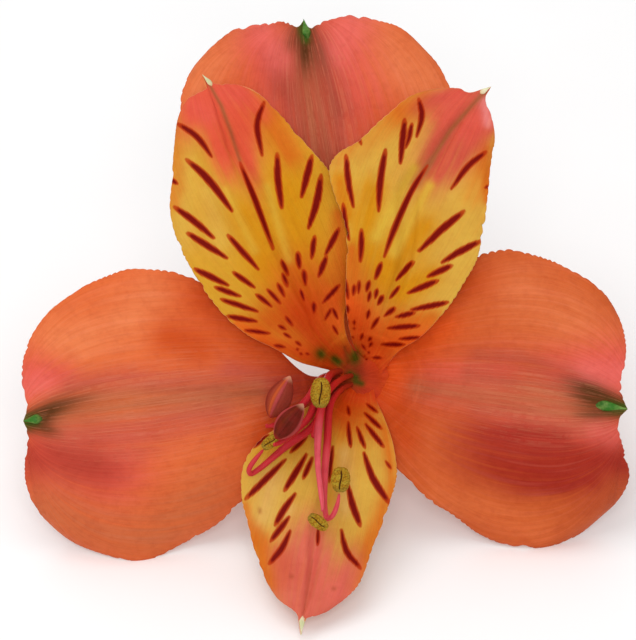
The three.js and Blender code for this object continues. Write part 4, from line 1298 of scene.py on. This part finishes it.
def tepal_material(name, settings):
    """The skin of one tepal: its tints laid over the base, fibres, streaks, a paler back."""
    tepal = TEPALS[name]
    whorl = tepal["whorl"]
    material, net, inputs = new_material(name + "_skin")
    fibres = fibres_on(net, whorl["fibres"])
    skin = skin_on(net, 5200.0, 170.0)
    across, _, front = net.split(net.mask("blade", "Vector"))
    from_axis = net.mask("from_axis")
    colour = net.lay(paint(tepal["base"]), paint("throat red"), from_axis, 3.2, whorl["red_to"], 1.0, 0.0)
    colour = lay_tints(net, colour, tepal["tints"], fibres["Broad"])

    strength = whorl["fibre_strength"]
    colour = net.lay(colour, paint(whorl["fibre_colour"]), fibres["Broad"], 0.42, 0.75, 0.0, strength)
    colour = net.lay(colour, SHADES["fibre"], fibres["Fine"], 0.44, 0.72, 0.0, strength, "MULTIPLY")
    colour = net.lay(colour, SHADES["patch"], skin["Patches"], 0.35, 0.7, 0.0, 0.2, "MULTIPLY")
    colour = net.lay(colour, SHADES["mottle"], skin["Mottle"], 0.4, 0.7, 0.0, whorl["mottle_strength"],
                     "MULTIPLY")
    if whorl is OUTER:
        middle = net.step(net.math("ABSOLUTE", across), 0.12, 0.6, 0.2, 0.0)
        lines = net.product(fibres["Lines"], middle, net.step(from_axis, 6.0, 14.0),
                            net.step(skin["Mottle"], 0.35, 0.6))
        colour = net.mix(lines, colour, paint("pale line"))
    if tepal["streaks"]:
        marks = net.group(shared_group("streaks", streak_group), Mark=net.mask("streak"),
                          Grain=fibres["Fine"], Softness=0.26)
        colour = net.mix(net.math("MULTIPLY", marks["Edge"], 0.92), colour, (*settings.streak_edge, 1))
        colour = net.mix(marks["Core"], colour, (*settings.streak_colour, 1))
    behind = net.mix(0.45, colour, paint(whorl["back_colour"]))
    colour = net.mix(net.step(front, 0.2, 0.55), behind, colour)
    # A painted highlight: a pale line along the thin lip of the blade.
    rim = net.product(net.step(front, 0.95, 0.7), net.step(front, 0.3, 0.55), 0.35)
    colour = net.mix(rim, colour, paint("rim highlight"))
    net.feed(inputs["Base Color"], colour)
    soft_tissue(inputs, RED_GLOW, weight=0.1, scale=0.0004, roughness=settings.gloss, shine=0.05)
    net.feed(inputs["Roughness"],
             net.step(skin["Patches"], 0.2, 0.8, settings.gloss - 0.06, settings.gloss + 0.1))
    height = net.weighed((fibres["Broad"], 0.5), (skin["Cells"], 0.2), (fibres["Lines"], 0.15),
                         (skin["Mottle"], 1.2))
    net.feed(inputs["Normal"], bump(net, height, 0.00006))
    return material


def throat_material(settings):
    """The skin of the claws' flesh in the throat."""
    material, net, inputs = new_material("throat_skin")
    fibres = fibres_on(net, 9.0)
    skin = skin_on(net, 5200.0, 400.0)
    colour = net.lay(paint("throat red"), paint("flame"), skin["Patches"], 0.35, 0.65, 0.0, 0.4)
    colour = lay_tints(net, colour, THROAT_FLESH["tints"], skin["Patches"])
    colour = net.lay(colour, SHADES["throat fibre"], fibres["Fine"], 0.44, 0.72, 0.0, 0.35, "MULTIPLY")
    net.feed(inputs["Base Color"], colour)
    soft_tissue(inputs, RED_GLOW, weight=0.1, scale=0.0004, roughness=settings.gloss, shine=0.05)
    net.feed(inputs["Normal"], bump(net, fibres["Broad"], 0.00008))
    return material


def point_material(finish):
    """The hard green or pale point at the tip of a tepal."""
    material, net, inputs = new_material(finish.replace(" ", "_"))
    skin = skin_on(net, 4200.0, 900.0)
    colour = net.lay(paint(finish + " foot"), paint(finish + " end"), net.mask("share"), 0.0, 0.6)
    colour = net.lay(colour, paint("point patch"), skin["Patches"], 0.4, 0.7, 0.0, 0.4)
    net.feed(inputs["Base Color"], colour)
    soft_tissue(inputs, GREEN_GLOW, weight=0.1, scale=0.0003, roughness=0.5, shine=0.2)
    net.feed(inputs["Normal"], bump(net, skin["Cells"], 0.00004))
    return material


def filament_material(name, settings):
    """Glassy crimson, lighter half way up, with painted shade in the throat and faint lines along it."""
    material, net, inputs = new_material(name)
    skin = skin_on(net, 4200.0, 500.0)
    height = net.mask("height")
    lines = net.grain(net.mask("turn"), net.mask("share"), (9.0, 6.0), 0.0, 3.0)
    blush = net.math("MULTIPLY", net.mask("blush"), net.step(lines, 0.3, 0.7, 0.5, 1.0))
    colour = net.mix(blush, (*settings.filament_colour, 1), (*settings.filament_light, 1))
    colour = net.lay(colour, SHADES["filament"], skin["Patches"], 0.45, 0.75, 0.0, 0.3)
    colour = net.lay(colour, paint("filament foot"), height, 13.0, 18.0, 0.8, 0.0)
    # painted shade where the filaments go down into the throat
    colour = net.lay(colour, paint("throat brown"), height, 10.0, 15.5, 0.7, 0.0)
    net.feed(inputs["Base Color"], colour)
    soft_tissue(inputs, CRIMSON_GLOW, weight=0.12, scale=0.0003, roughness=0.4, shine=0.18)
    relief = net.math("ADD", lines, net.math("MULTIPLY", skin["Cells"], 0.3))
    net.feed(inputs["Normal"], bump(net, relief, 0.00004))
    return material


def open_anther_material(settings):
    """Clumped pollen: yellow grains with dark gaps, and a brown seam."""
    material, net, inputs = new_material("pollen")
    skin = skin_on(net, 9000.0, 2600.0)
    colour = net.lay(paint("pollen gap"), (*settings.pollen_colour, 1), net.mask("bulge"), 0.05, 0.55)
    colour = net.lay(colour, paint("pale pollen"), skin["Patches"], 0.4, 0.7, 0.0, 0.6)
    colour = net.lay(colour, paint("dark pollen"), skin["Cells"], 0.3, 0.6, 0.3, 0.0)
    colour = net.lay(colour, paint("pollen foot"), net.mask("share"), 0.0, 0.3, 0.5, 0.0)
    colour = net.lay(colour, paint("pollen seam"), net.mask("seam"), 0.35, 0.9)
    net.feed(inputs["Base Color"], colour)
    inputs["Roughness"].default_value = 0.75
    inputs["Specular IOR Level"].default_value = 0.08
    net.feed(inputs["Normal"], bump(net, skin["Cells"], 0.00005))
    return material


def closed_anther_material(settings):
    """Smooth maroon lobes with mauve edges and a pale tip."""
    material, net, inputs = new_material("closed_anther_skin")
    share = net.mask("share")
    skin = skin_on(net, 5200.0, 1300.0)
    colour = net.lay((*settings.closed_colour, 1), paint("lobe patch"), skin["Patches"], 0.35, 0.7, 0.0, 0.6)
    colour = net.mix(net.mask("face"), colour, paint("lobe face"))
    colour = net.lay(colour, paint("lobe edge"), net.mask("ridge"), 0.2, 0.95, 0.0, 0.8)
    colour = net.lay(colour, paint("lobe tip"), share, 0.84, 0.99, 0.0, 0.85)
    colour = net.lay(colour, paint("lobe foot"), share, 0.0, 0.12, 0.6, 0.0)
    net.feed(inputs["Base Color"], colour)
    soft_tissue(inputs, MAROON_GLOW, weight=0.05, scale=0.0003, roughness=0.5, shine=0.06)
    net.feed(inputs["Normal"], bump(net, skin["Cells"], 0.00005))
    return material


def stem_material(name, settings, cut_end):
    """Green rind with darker lines between its ribs, and a cut end where there is one."""
    material, net, inputs = new_material(name)
    rib = net.mask("rib")
    skin = skin_on(net, 4200.0, 420.0)
    between_ribs = (*(0.6 * c for c in settings.green), 1)
    colour = net.lay(between_ribs, (*settings.green, 1), rib, 0.2, 0.9)
    colour = net.lay(colour, paint("pale rind"), skin["Patches"], 0.35, 0.7, 0.0, 0.5)
    colour = net.lay(colour, paint("blushed rind"), net.mask("share"), 0.0, 0.25, 0.45, 0.0)
    if cut_end:
        flesh = net.lay((*settings.cut_colour, 1), paint("cut cells"), skin["Cells"], 0.3, 0.7)
        colour = net.lay(colour, flesh, net.mask("cut"), 0.3, 0.7)
    net.feed(inputs["Base Color"], colour)
    soft_tissue(inputs, GREEN_GLOW, weight=0.12, scale=0.0006, roughness=0.42, shine=0.45)
    net.feed(inputs["Normal"], bump(net, net.weighed((rib, 0.6), (skin["Cells"], 0.4)), 0.00006))
    return material


# The other pieces

def build_point(name, material):
    """The tapered point at a tepal's tip, set into the end of the blade."""
    spec, tepal, shape = TEPAL_POINTS[name], TEPALS[name], POINT
    margins = {side: margin(tepal, side) for side in ("left", "right")}
    steps = shape["steps"]
    line = blade_middle(tepal, margins, np.linspace(shape["search_from"], 1.0, steps), np.zeros(steps))
    start, end = face([spec["root"], spec["tip"]])
    start[2] = line[np.argmin(np.hypot(*(line - start)[:, :2].T)), 2]
    end[2] = line[-1, 2] + spec["rise"]
    bend = mix(start, end, shape["bend_at"]) + np.array([0, 0, shape["bend"]])

    def radius_at(x, turn):
        flat = 1 - shape["flatness"] * np.sin(turn) ** 2
        widening = mix(shape["foot"], 1.0, ease(x, 0, shape["widest_at"]))
        narrowing = mix(1.0, shape["end"], ease(x, shape["widest_at"], 1.0) ** shape["taper"])
        profile = np.where(x < shape["widest_at"], widening, narrowing)
        return spec["thick"] / 2 * profile * flat * (1 + shape["ridge"] * np.cos(5 * turn))

    points, faces, share = tube([start, bend, end], radius_at, shape["rings"], shape["sides"])
    make_piece(name + "_point", points, faces, {"share": share}, material, petal_slot(name))


def build_filament(name, stamen, material):
    """One filament, from the ovary to its anther, thickest in its middle."""
    shape = FILAMENT
    path = [on_ring(RING_RADIUS, stamen["foot"], STEM_START), *map(np.array, stamen["way"])]
    path.append(path[-1] + unit(np.array(stamen["at"]) - path[-1]) * shape["reach"])

    def radius_at(x, turn):
        body = mix(shape["foot"], shape["belly"], ease(x, *shape["swells"]))
        body = mix(body, shape["tip"], ease(x, *shape["thins"]))
        body = body * (1 - shape["rounding"] * ease(x, *shape["rounds"]))
        return body * (1 + shape["ridge"] * np.cos(3 * turn + 4 * x))

    points, faces, share = tube(path, radius_at, shape["rings"], shape["sides"])
    height = points[:, 2]
    blush = (stamen["blush"] * ease(height, *shape["blush_height"])
             + shape["usual_blush"] * ease(share, *shape["blush_share"]))
    turn = from_far_side(shape["rings"], shape["sides"])
    make_piece(f"filament_{name}_stem", points, faces,
               {"share": share, "turn": turn, "height": height, "blush": blush}, material, "filament",
               f"filament_{name}")


def build_style(material):
    """The style, which stands in the middle of the filaments and widens a little at its end."""
    shape = STYLE
    path = [np.array([0, 0, STEM_START]), *map(np.array, shape["way"])]

    def radius_at(x, turn):
        widening = 1 + shape["widening"] * ease(x, shape["widens_from"], 1)
        return shape["radius"] * widening * (1 + shape["ridge"] * np.cos(3 * turn))

    points, faces, share = tube(path, radius_at, shape["rings"], shape["sides"])
    turn = from_far_side(shape["rings"], shape["sides"])
    make_piece("style_stem", points, faces,
               {"share": share, "turn": turn, "height": points[:, 2], "blush": 0 * share}, material, "style",
               "style")


def build_throat(material):
    """The mound that fills the bowl of the throat between the claws."""
    shape = THROAT_FLESH
    rings, rings_under, middle = shape["rings"], shape["rings_under"], shape["middle"]
    turn = 2 * math.pi * np.arange(shape["sides"]) / shape["sides"]
    off = [np.abs((np.degrees(turn) - tepal["claw"] + 180) % 360 - 180)
           for tepal in TEPALS.values() if tepal["whorl"] is OUTER]
    gap = sum(np.exp(-((o / shape["gap_width"]) ** 2)) for o in off)
    k = np.concatenate([np.linspace(middle, 1, rings), np.linspace(1, middle, rings_under)])[:, None]
    under = np.repeat([0, 1], [rings, rings_under])[:, None]
    radius = k * (shape["reach"] + shape["gap_reach"] * gap)
    w = mix(throat_level(radius, "inner"), throat_level(radius, "outer"), gap)
    w = w - shape["sunk"] - shape["dip"] * ease(k, *shape["dips"]) - shape["thickness"] * under
    w = w + shape["ripple"] * np.cos(shape["ripples"] * turn) * k
    points = np.stack([radius * np.cos(turn), radius * np.sin(turn), w], axis=-1)
    points = np.vstack([points.reshape(-1, 3), points[0].mean(0), points[-1].mean(0)])
    x, y = in_face_view(points)
    aside, down = x - shape["fibres_from"][0], y - shape["fibres_from"][1]
    blade = np.stack([np.arctan2(down, aside) * 2, np.hypot(aside, down) / shape["fibre_length"],
                      np.ones(len(x))], axis=-1)
    faces = [loop[::-1] for loop in ring_faces(len(k), shape["sides"])]
    masks = {"blade": blade, **packed_tints([tint_mask(x, y, tint) for tint in shape["tints"]])}
    make_piece("throat_flesh", points, faces, masks, material, "inner_petal_upper")


def anther_frame(stamen):
    """Directions along an anther, across it and out of its front."""
    line = unit(stamen["along"])
    across = unit(np.cross((0, 0, 1), line))
    return line, across, np.cross(line, across)


def bell(x, middle, width):
    """1 at the middle, and near 0 from twice the width off it."""
    return np.exp(-(((x - middle) / width) ** 2))


def pollen(name, points, area, grain):
    """How far each point of an open anther bulges with its clump of pollen, 0 to 1, and the clump's size."""
    shape = POLLEN
    rng = np.random.default_rng(ord(name) * 7)
    tries = rng.choice(len(points) - 2, int(shape["tries"] * area / grain**2), replace=False)
    apart = shape["apart"] * grain
    clumps = []
    for p in points[tries]:
        if all(np.linalg.norm(p - q) > apart for q in clumps):
            clumps.append(p)
    gaps = np.linalg.norm(points[:, None] - np.array(clumps)[None], axis=-1)
    nearest = gaps.argmin(axis=1)
    gaps.sort(axis=1)
    bulge = np.clip((gaps[:, 1] - gaps[:, 0]) / apart, 0, 1) ** shape["roundness"]
    return bulge, rng.uniform(*shape["sizes"], len(clumps))[nearest]


def build_anther(name, stamen, material, grain):
    """One anther: smooth lobes where it is closed, and clumped pollen round a slit where it is open."""
    shape = ANTHER
    line, across, front = anther_frame(stamen)
    rings, sides = shape["rings"], shape["sides"]
    x = (np.arange(1, rings + 1) / (rings + 1))[:, None]
    turn = (2 * math.pi * np.arange(sides) / sides)[None, :]
    arch = np.sin(math.pi * x)
    length, width = stamen["length"], stamen["width"]
    closed = not stamen["open"]
    aside = np.cos(turn) * np.where(np.sin(turn) > -0.3, 1, 0.2) + 0 * x
    if closed:
        swell = arch**0.7 * (1.12 - 0.3 * x)
        furrows = bell(aside, -0.1, 0.1) + bell(aside, 0.62, 0.07)
        dent = 0.12 * furrows * ease(arch, 0.1, 0.5) * (np.sin(turn) > 0)
    else:
        swell = arch**0.32
        slit = bell(turn + 0.12 * np.sin(7 * x), math.pi / 2, 0.15)
        dent = 0.2 * slit * ease(arch, 0.2, 0.6) + 0.14 * bell(turn, math.pi / 2, 0.5)
    size = width / 2 * swell * (1 - dent)
    bow = shape["bow"] if closed else 0
    middle = np.array(stamen["at"]) + (x - 0.5) * length * line + bow * arch * front
    points = (middle[:, None] + across * (size * np.cos(turn))[..., None]
              + front * (size * shape["depth"] * np.sin(turn))[..., None]).reshape(-1, 3)
    ends = np.array([stamen["at"] + (k - 0.5) * length * line for k in (0, 1)])
    points = np.vstack([points, ends])

    def with_ends(values):
        return np.concatenate([values.ravel(), [0, 0]])

    masks = {"share": np.concatenate([np.repeat(x.ravel(), sides), [0, 1]])}
    if closed:
        shown = stamen["face"]
        band = shown * (0.2 + 0.8 * bell(aside, 0.45, 0.22))
        edges = ((1 - shown) * (ease(aside, 0.72, 0.95) + ease(-aside, 0.55, 0.95))
                 + (0.2 + 0.8 * shown) * bell(aside, 0.1, 0.11) + 0.45 * shown)
        masks.update(ridge=with_ends(np.clip(edges, 0, 1)), face=with_ends(band))
    else:
        outward = unit(points - points[:-2].mean(0))
        bulge, lump = pollen(name, points, length * width, grain)
        points = points + outward * (POLLEN["height"] * (bulge * lump - 0.5))[:, None]
        masks.update(bulge=bulge, seam=with_ends(slit * ease(arch, 0.1, 0.5)))
    slot = "anther_closed" if closed else "anther_open"
    make_piece(f"anther_{name}_body", points, ring_faces(rings, sides), masks, material, slot,
               f"anther_{name}")


def build_ovary(material):
    """The ribbed cup under the tepals, with the socket of the stalk in its foot."""
    shape = OVARY
    length, waist, foot = shape["length"], shape["waist"], shape["foot_radius"]
    socket_radius = STALK["radius"] + STALK["clearance"]
    profile = np.array([
        (0.9, 0, 0), (shape["top_radius"] - shape["rim_round"], 0, 0), (shape["top_radius"], -0.25, 0.3),
        (waist, -length * 0.25, 1), (waist * 0.97, -length * 0.5, 1), (waist * 0.82, -length * 0.75, 1),
        (mix(waist, foot, 0.7), -length * 0.92, 0.7), (foot, -length + 0.1, 0.2), (foot - 0.25, -length, 0),
        (socket_radius, -length, 0), (socket_radius - 0.1, -length + STALK["socket"], 0)])
    line = Curve(profile, 30).at(np.linspace(0, 1, shape["rings"]))
    turn = -2 * math.pi * np.arange(shape["sides"]) / shape["sides"]
    broad = np.cos(shape["ribs"] * turn)
    fine = np.cos(shape["fine_ribs"] * turn)
    radius = line[:, :1] + line[:, 2:] * (shape["rib_depth"] * broad + shape["fine_depth"] * fine)
    points = np.stack([radius * np.cos(turn), radius * np.sin(turn), line[:, 1:2] + 0 * radius], axis=-1)
    points = np.vstack([points.reshape(-1, 3), [0, 0, 0], [0, 0, -length + STALK["socket"]]])
    share = np.concatenate([np.repeat(-line[:, 1] / length, shape["sides"]), [0, 1]])
    rib = np.concatenate([np.tile(0.5 + 0.35 * broad + 0.15 * fine, shape["rings"]), [1, 1]])
    make_piece("ovary_cup", points, ring_faces(shape["rings"], shape["sides"]),
               {"share": share, "rib": rib}, material, "ovary", "ovary")


def build_stalk(material):
    """The stub of the stalk, from its socket in the ovary to the cut."""
    shape = STALK
    rings, sides, cut_rings = shape["rings"], shape["sides"], shape["cut_rings"]
    socket_floor = -OVARY["length"] + shape["socket"]
    top, low = socket_floor - shape["top_gap"], socket_floor - shape["clearance"] - shape["length"]
    x = np.linspace(0, 1, rings)
    line = Curve([(0, 0, top), (0, 0, top - shape["length"] / 3), (0, -shape["bend"], low)]).at(x)
    across, up = carried_frames(line)
    turn = 2 * math.pi * np.arange(sides) / sides
    ribs = np.cos(shape["ribs"] * turn)
    fine = np.cos(shape["fine_ribs"] * turn)
    radius = shape["radius"] * (1 + shape["rib_depth"] * ribs + shape["fine_depth"] * fine)
    points = (line[:, None] + across[:, None] * (radius * np.cos(turn))[None, :, None]
              + up[:, None] * (radius * np.sin(turn))[None, :, None])
    cut_face = [mix(line[-1], points[-1], k) + np.array([0, 0, raised]) for k, raised in cut_rings]
    middle = line[-1:] + [0, 0, shape["cut_middle"]]
    points = np.vstack([points.reshape(-1, 3), *cut_face, line[:1], middle])
    cut_count = len(cut_rings) * sides
    share = np.concatenate([np.repeat(mix(shape["shown_from"], 1, x), sides), np.ones(cut_count),
                            [shape["shown_from"], 1]])
    rib = np.concatenate([np.tile(0.5 + 0.5 * ribs, rings + len(cut_rings)), [1, 1]])
    cut = np.concatenate([np.zeros(rings * sides), np.ones(cut_count), [0, 1]])
    make_piece("stalk_stub", points, ring_faces(rings + len(cut_rings), sides),
               {"share": share, "rib": rib, "cut": cut}, material, "stalk", "pedicel")


def face_directions():
    """Directions in the world to the right and up across the face view, and out of it."""
    s, c = math.sin(FACE_ELEVATION), math.cos(FACE_ELEVATION)
    return np.array([1.0, 0, 0]), np.array([0, s, c]), np.array([0, -c, s])


def placed(x_axis, y_axis, z_axis, origin):
    return Matrix(np.column_stack([x_axis, y_axis, z_axis, origin]).tolist()).to_4x4()


def build_floor(tone):
    """The pale surface that the bloom lies on."""
    r = FLOOR_REACH
    mesh = bpy.data.meshes.new("floor")
    mesh.from_pydata([(-r, -r, 0), (r, -r, 0), (r, r, 0), (-r, r, 0)], [], [(0, 1, 2, 3)])
    material, net, inputs = new_material("pale_floor")
    mottled = net.noise(net.node("ShaderNodeTexCoord").outputs["Object"], 40.0, 2.0)
    colour = net.lay((*tone, 1), (*(0.985 * c for c in tone), 1), mottled, 0.3, 0.7)
    net.feed(inputs["Base Color"], colour)
    inputs["Roughness"].default_value = 0.9
    inputs["Specular IOR Level"].default_value = 0.1
    mesh.materials.append(material)
    floor = bpy.data.objects.new("floor", mesh)
    bpy.context.scene.collection.objects.link(floor)


def build_stage(settings):
    """The floor, the camera in front of the face, two soft lights and an even surround."""
    build_floor(tuple(settings.floor_colour))
    scene = bpy.context.scene
    right, up, out = face_directions()
    target = to_world(np.append(face(FACE_CENTRE)[0, :2], FACE_DEPTH))

    camera = bpy.data.objects.new("camera", bpy.data.cameras.new("camera"))
    camera.data.lens = settings.lens
    distance = FACE_HEIGHT * FACE_UNIT / 1000 * settings.lens / camera.data.sensor_width
    camera.matrix_world = placed(right, up, out, target + out * distance)
    camera.data.clip_start, camera.data.clip_end = CAMERA_CLIP
    scene.collection.objects.link(camera)
    scene.camera = camera

    for name, power in (("key_light", settings.key_strength), ("fill_light", settings.fill_strength)):
        spec = LIGHTS[name]
        light = bpy.data.lights.new(name, "AREA")
        light.shape = "DISK"
        light.size = spec["size"]
        light.energy = power
        lamp = bpy.data.objects.new(name, light)
        offset = np.array(spec["at"]) @ np.array([right, up, out])
        back = unit(offset)
        side = unit(np.cross(up, back))
        lamp.matrix_world = placed(side, np.cross(back, side), back, target + offset)
        scene.collection.objects.link(lamp)

    world = bpy.data.worlds.new("soft_surround")
    world.use_nodes = True
    background = world.node_tree.nodes["Background"]
    background.inputs["Color"].default_value = (1, 1, 1, 1)
    background.inputs["Strength"].default_value = settings.sky_strength
    scene.world = world
    scene.view_settings.view_transform = "Standard"


# The add-on

class BLOOM_OT_outer_tepals(bpy.types.Operator):
    """Build the three outer tepals"""

    bl_idname = "bloom.outer_tepals"
    bl_label = "Outer tepals"

    def execute(self, context):
        settings = context.scene.bloom_tepals
        for name in (n for n in TEPALS if n.startswith("outer")):
            build_tepal(name, settings, tepal_material(name, settings))
        return {"FINISHED"}


class BLOOM_OT_inner_tepals(bpy.types.Operator):
    """Build the three streaked inner tepals"""

    bl_idname = "bloom.inner_tepals"
    bl_label = "Inner tepals"

    def execute(self, context):
        settings = context.scene.bloom_tepals
        for name in (n for n in TEPALS if n.startswith("inner")):
            build_tepal(name, settings, tepal_material(name, settings))
        return {"FINISHED"}


class BLOOM_OT_throat(bpy.types.Operator):
    """Build the flesh of the claws that closes the throat"""

    bl_idname = "bloom.throat"
    bl_label = "Throat"

    def execute(self, context):
        build_throat(throat_material(context.scene.bloom_tepals))
        return {"FINISHED"}


class BLOOM_OT_tepal_points(bpy.types.Operator):
    """Build the hard points at the tepals' tips"""

    bl_idname = "bloom.tepal_points"
    bl_label = "Tepal points"

    def execute(self, context):
        materials = {finish: point_material(finish) for finish in ("leaf point", "pale point")}
        for name in TEPAL_POINTS:
            build_point(name, materials[TEPALS[name]["whorl"]["point"]])
        return {"FINISHED"}


class BLOOM_OT_ovary(bpy.types.Operator):
    """Build the ribbed ovary under the tepals"""

    bl_idname = "bloom.ovary"
    bl_label = "Ovary"

    def execute(self, context):
        build_ovary(stem_material("ovary_rind", context.scene.bloom_stem, False))
        return {"FINISHED"}


class BLOOM_OT_stalk(bpy.types.Operator):
    """Build the cut stub of the stalk"""

    bl_idname = "bloom.stalk"
    bl_label = "Stalk"

    def execute(self, context):
        build_stalk(stem_material("stalk_rind", context.scene.bloom_stem, True))
        return {"FINISHED"}


class BLOOM_OT_style(bpy.types.Operator):
    """Build the style between the stamens"""

    bl_idname = "bloom.style"
    bl_label = "Style"

    def execute(self, context):
        build_style(filament_material("style_skin", context.scene.bloom_stamens))
        return {"FINISHED"}


class BLOOM_OT_filaments(bpy.types.Operator):
    """Build the six filaments"""

    bl_idname = "bloom.filaments"
    bl_label = "Filaments"

    def execute(self, context):
        material = filament_material("filament_skin", context.scene.bloom_stamens)
        for name, stamen in STAMENS.items():
            build_filament(name, stamen, material)
        return {"FINISHED"}


class BLOOM_OT_anthers(bpy.types.Operator):
    """Build the four open and the two closed anthers"""

    bl_idname = "bloom.anthers"
    bl_label = "Anthers"

    def execute(self, context):
        settings = context.scene.bloom_stamens
        pollen, closed = open_anther_material(settings), closed_anther_material(settings)
        for name, stamen in STAMENS.items():
            build_anther(name, stamen, pollen if stamen["open"] else closed, settings.grain)
        return {"FINISHED"}


class BLOOM_OT_stage(bpy.types.Operator):
    """Set up the pale floor, the soft lights and the camera"""

    bl_idname = "bloom.stage"
    bl_label = "Stage"

    def execute(self, context):
        build_stage(context.scene.bloom_stage)
        return {"FINISHED"}


OPERATORS = (
    BLOOM_OT_outer_tepals, BLOOM_OT_inner_tepals, BLOOM_OT_throat, BLOOM_OT_tepal_points, BLOOM_OT_ovary,
    BLOOM_OT_stalk, BLOOM_OT_style, BLOOM_OT_filaments, BLOOM_OT_anthers, BLOOM_OT_stage,
)
SETTINGS = {
    "bloom_tepals": TepalSettings, "bloom_stamens": StamenSettings, "bloom_stem": StemSettings,
    "bloom_stage": StageSettings,
}


class BLOOM_PT_panel(bpy.types.Panel):
    """Lists the pieces of the bloom and their settings"""

    bl_label = "Peruvian lily bloom"
    bl_idname = "BLOOM_PT_panel"
    bl_space_type = "VIEW_3D"
    bl_region_type = "UI"
    bl_category = "Bloom"

    def draw(self, context):
        for operator in OPERATORS:
            self.layout.operator(operator.bl_idname)
        for label, group in SETTINGS.items():
            box = self.layout.box()
            box.label(text=group.__doc__)
            for prop in group.__annotations__:
                box.prop(getattr(context.scene, label), prop)


def register():
    for group in SETTINGS.values():
        bpy.utils.register_class(group)
    for label, group in SETTINGS.items():
        setattr(bpy.types.Scene, label, bpy.props.PointerProperty(type=group))
    for operator in OPERATORS:
        bpy.utils.register_class(operator)
    bpy.utils.register_class(BLOOM_PT_panel)


def unregister():
    bpy.utils.unregister_class(BLOOM_PT_panel)
    for operator in reversed(OPERATORS):
        bpy.utils.unregister_class(operator)
    for label in SETTINGS:
        delattr(bpy.types.Scene, label)
    for group in reversed(list(SETTINGS.values())):
        bpy.utils.unregister_class(group)


def main():
    register()
    bpy.ops.bloom.outer_tepals()
    bpy.ops.bloom.inner_tepals()
    bpy.ops.bloom.throat()
    bpy.ops.bloom.tepal_points()
    bpy.ops.bloom.ovary()
    bpy.ops.bloom.stalk()
    bpy.ops.bloom.style()
    bpy.ops.bloom.filaments()
    bpy.ops.bloom.anthers()
    bpy.ops.bloom.stage()


if __name__ == "__main__":
    main()
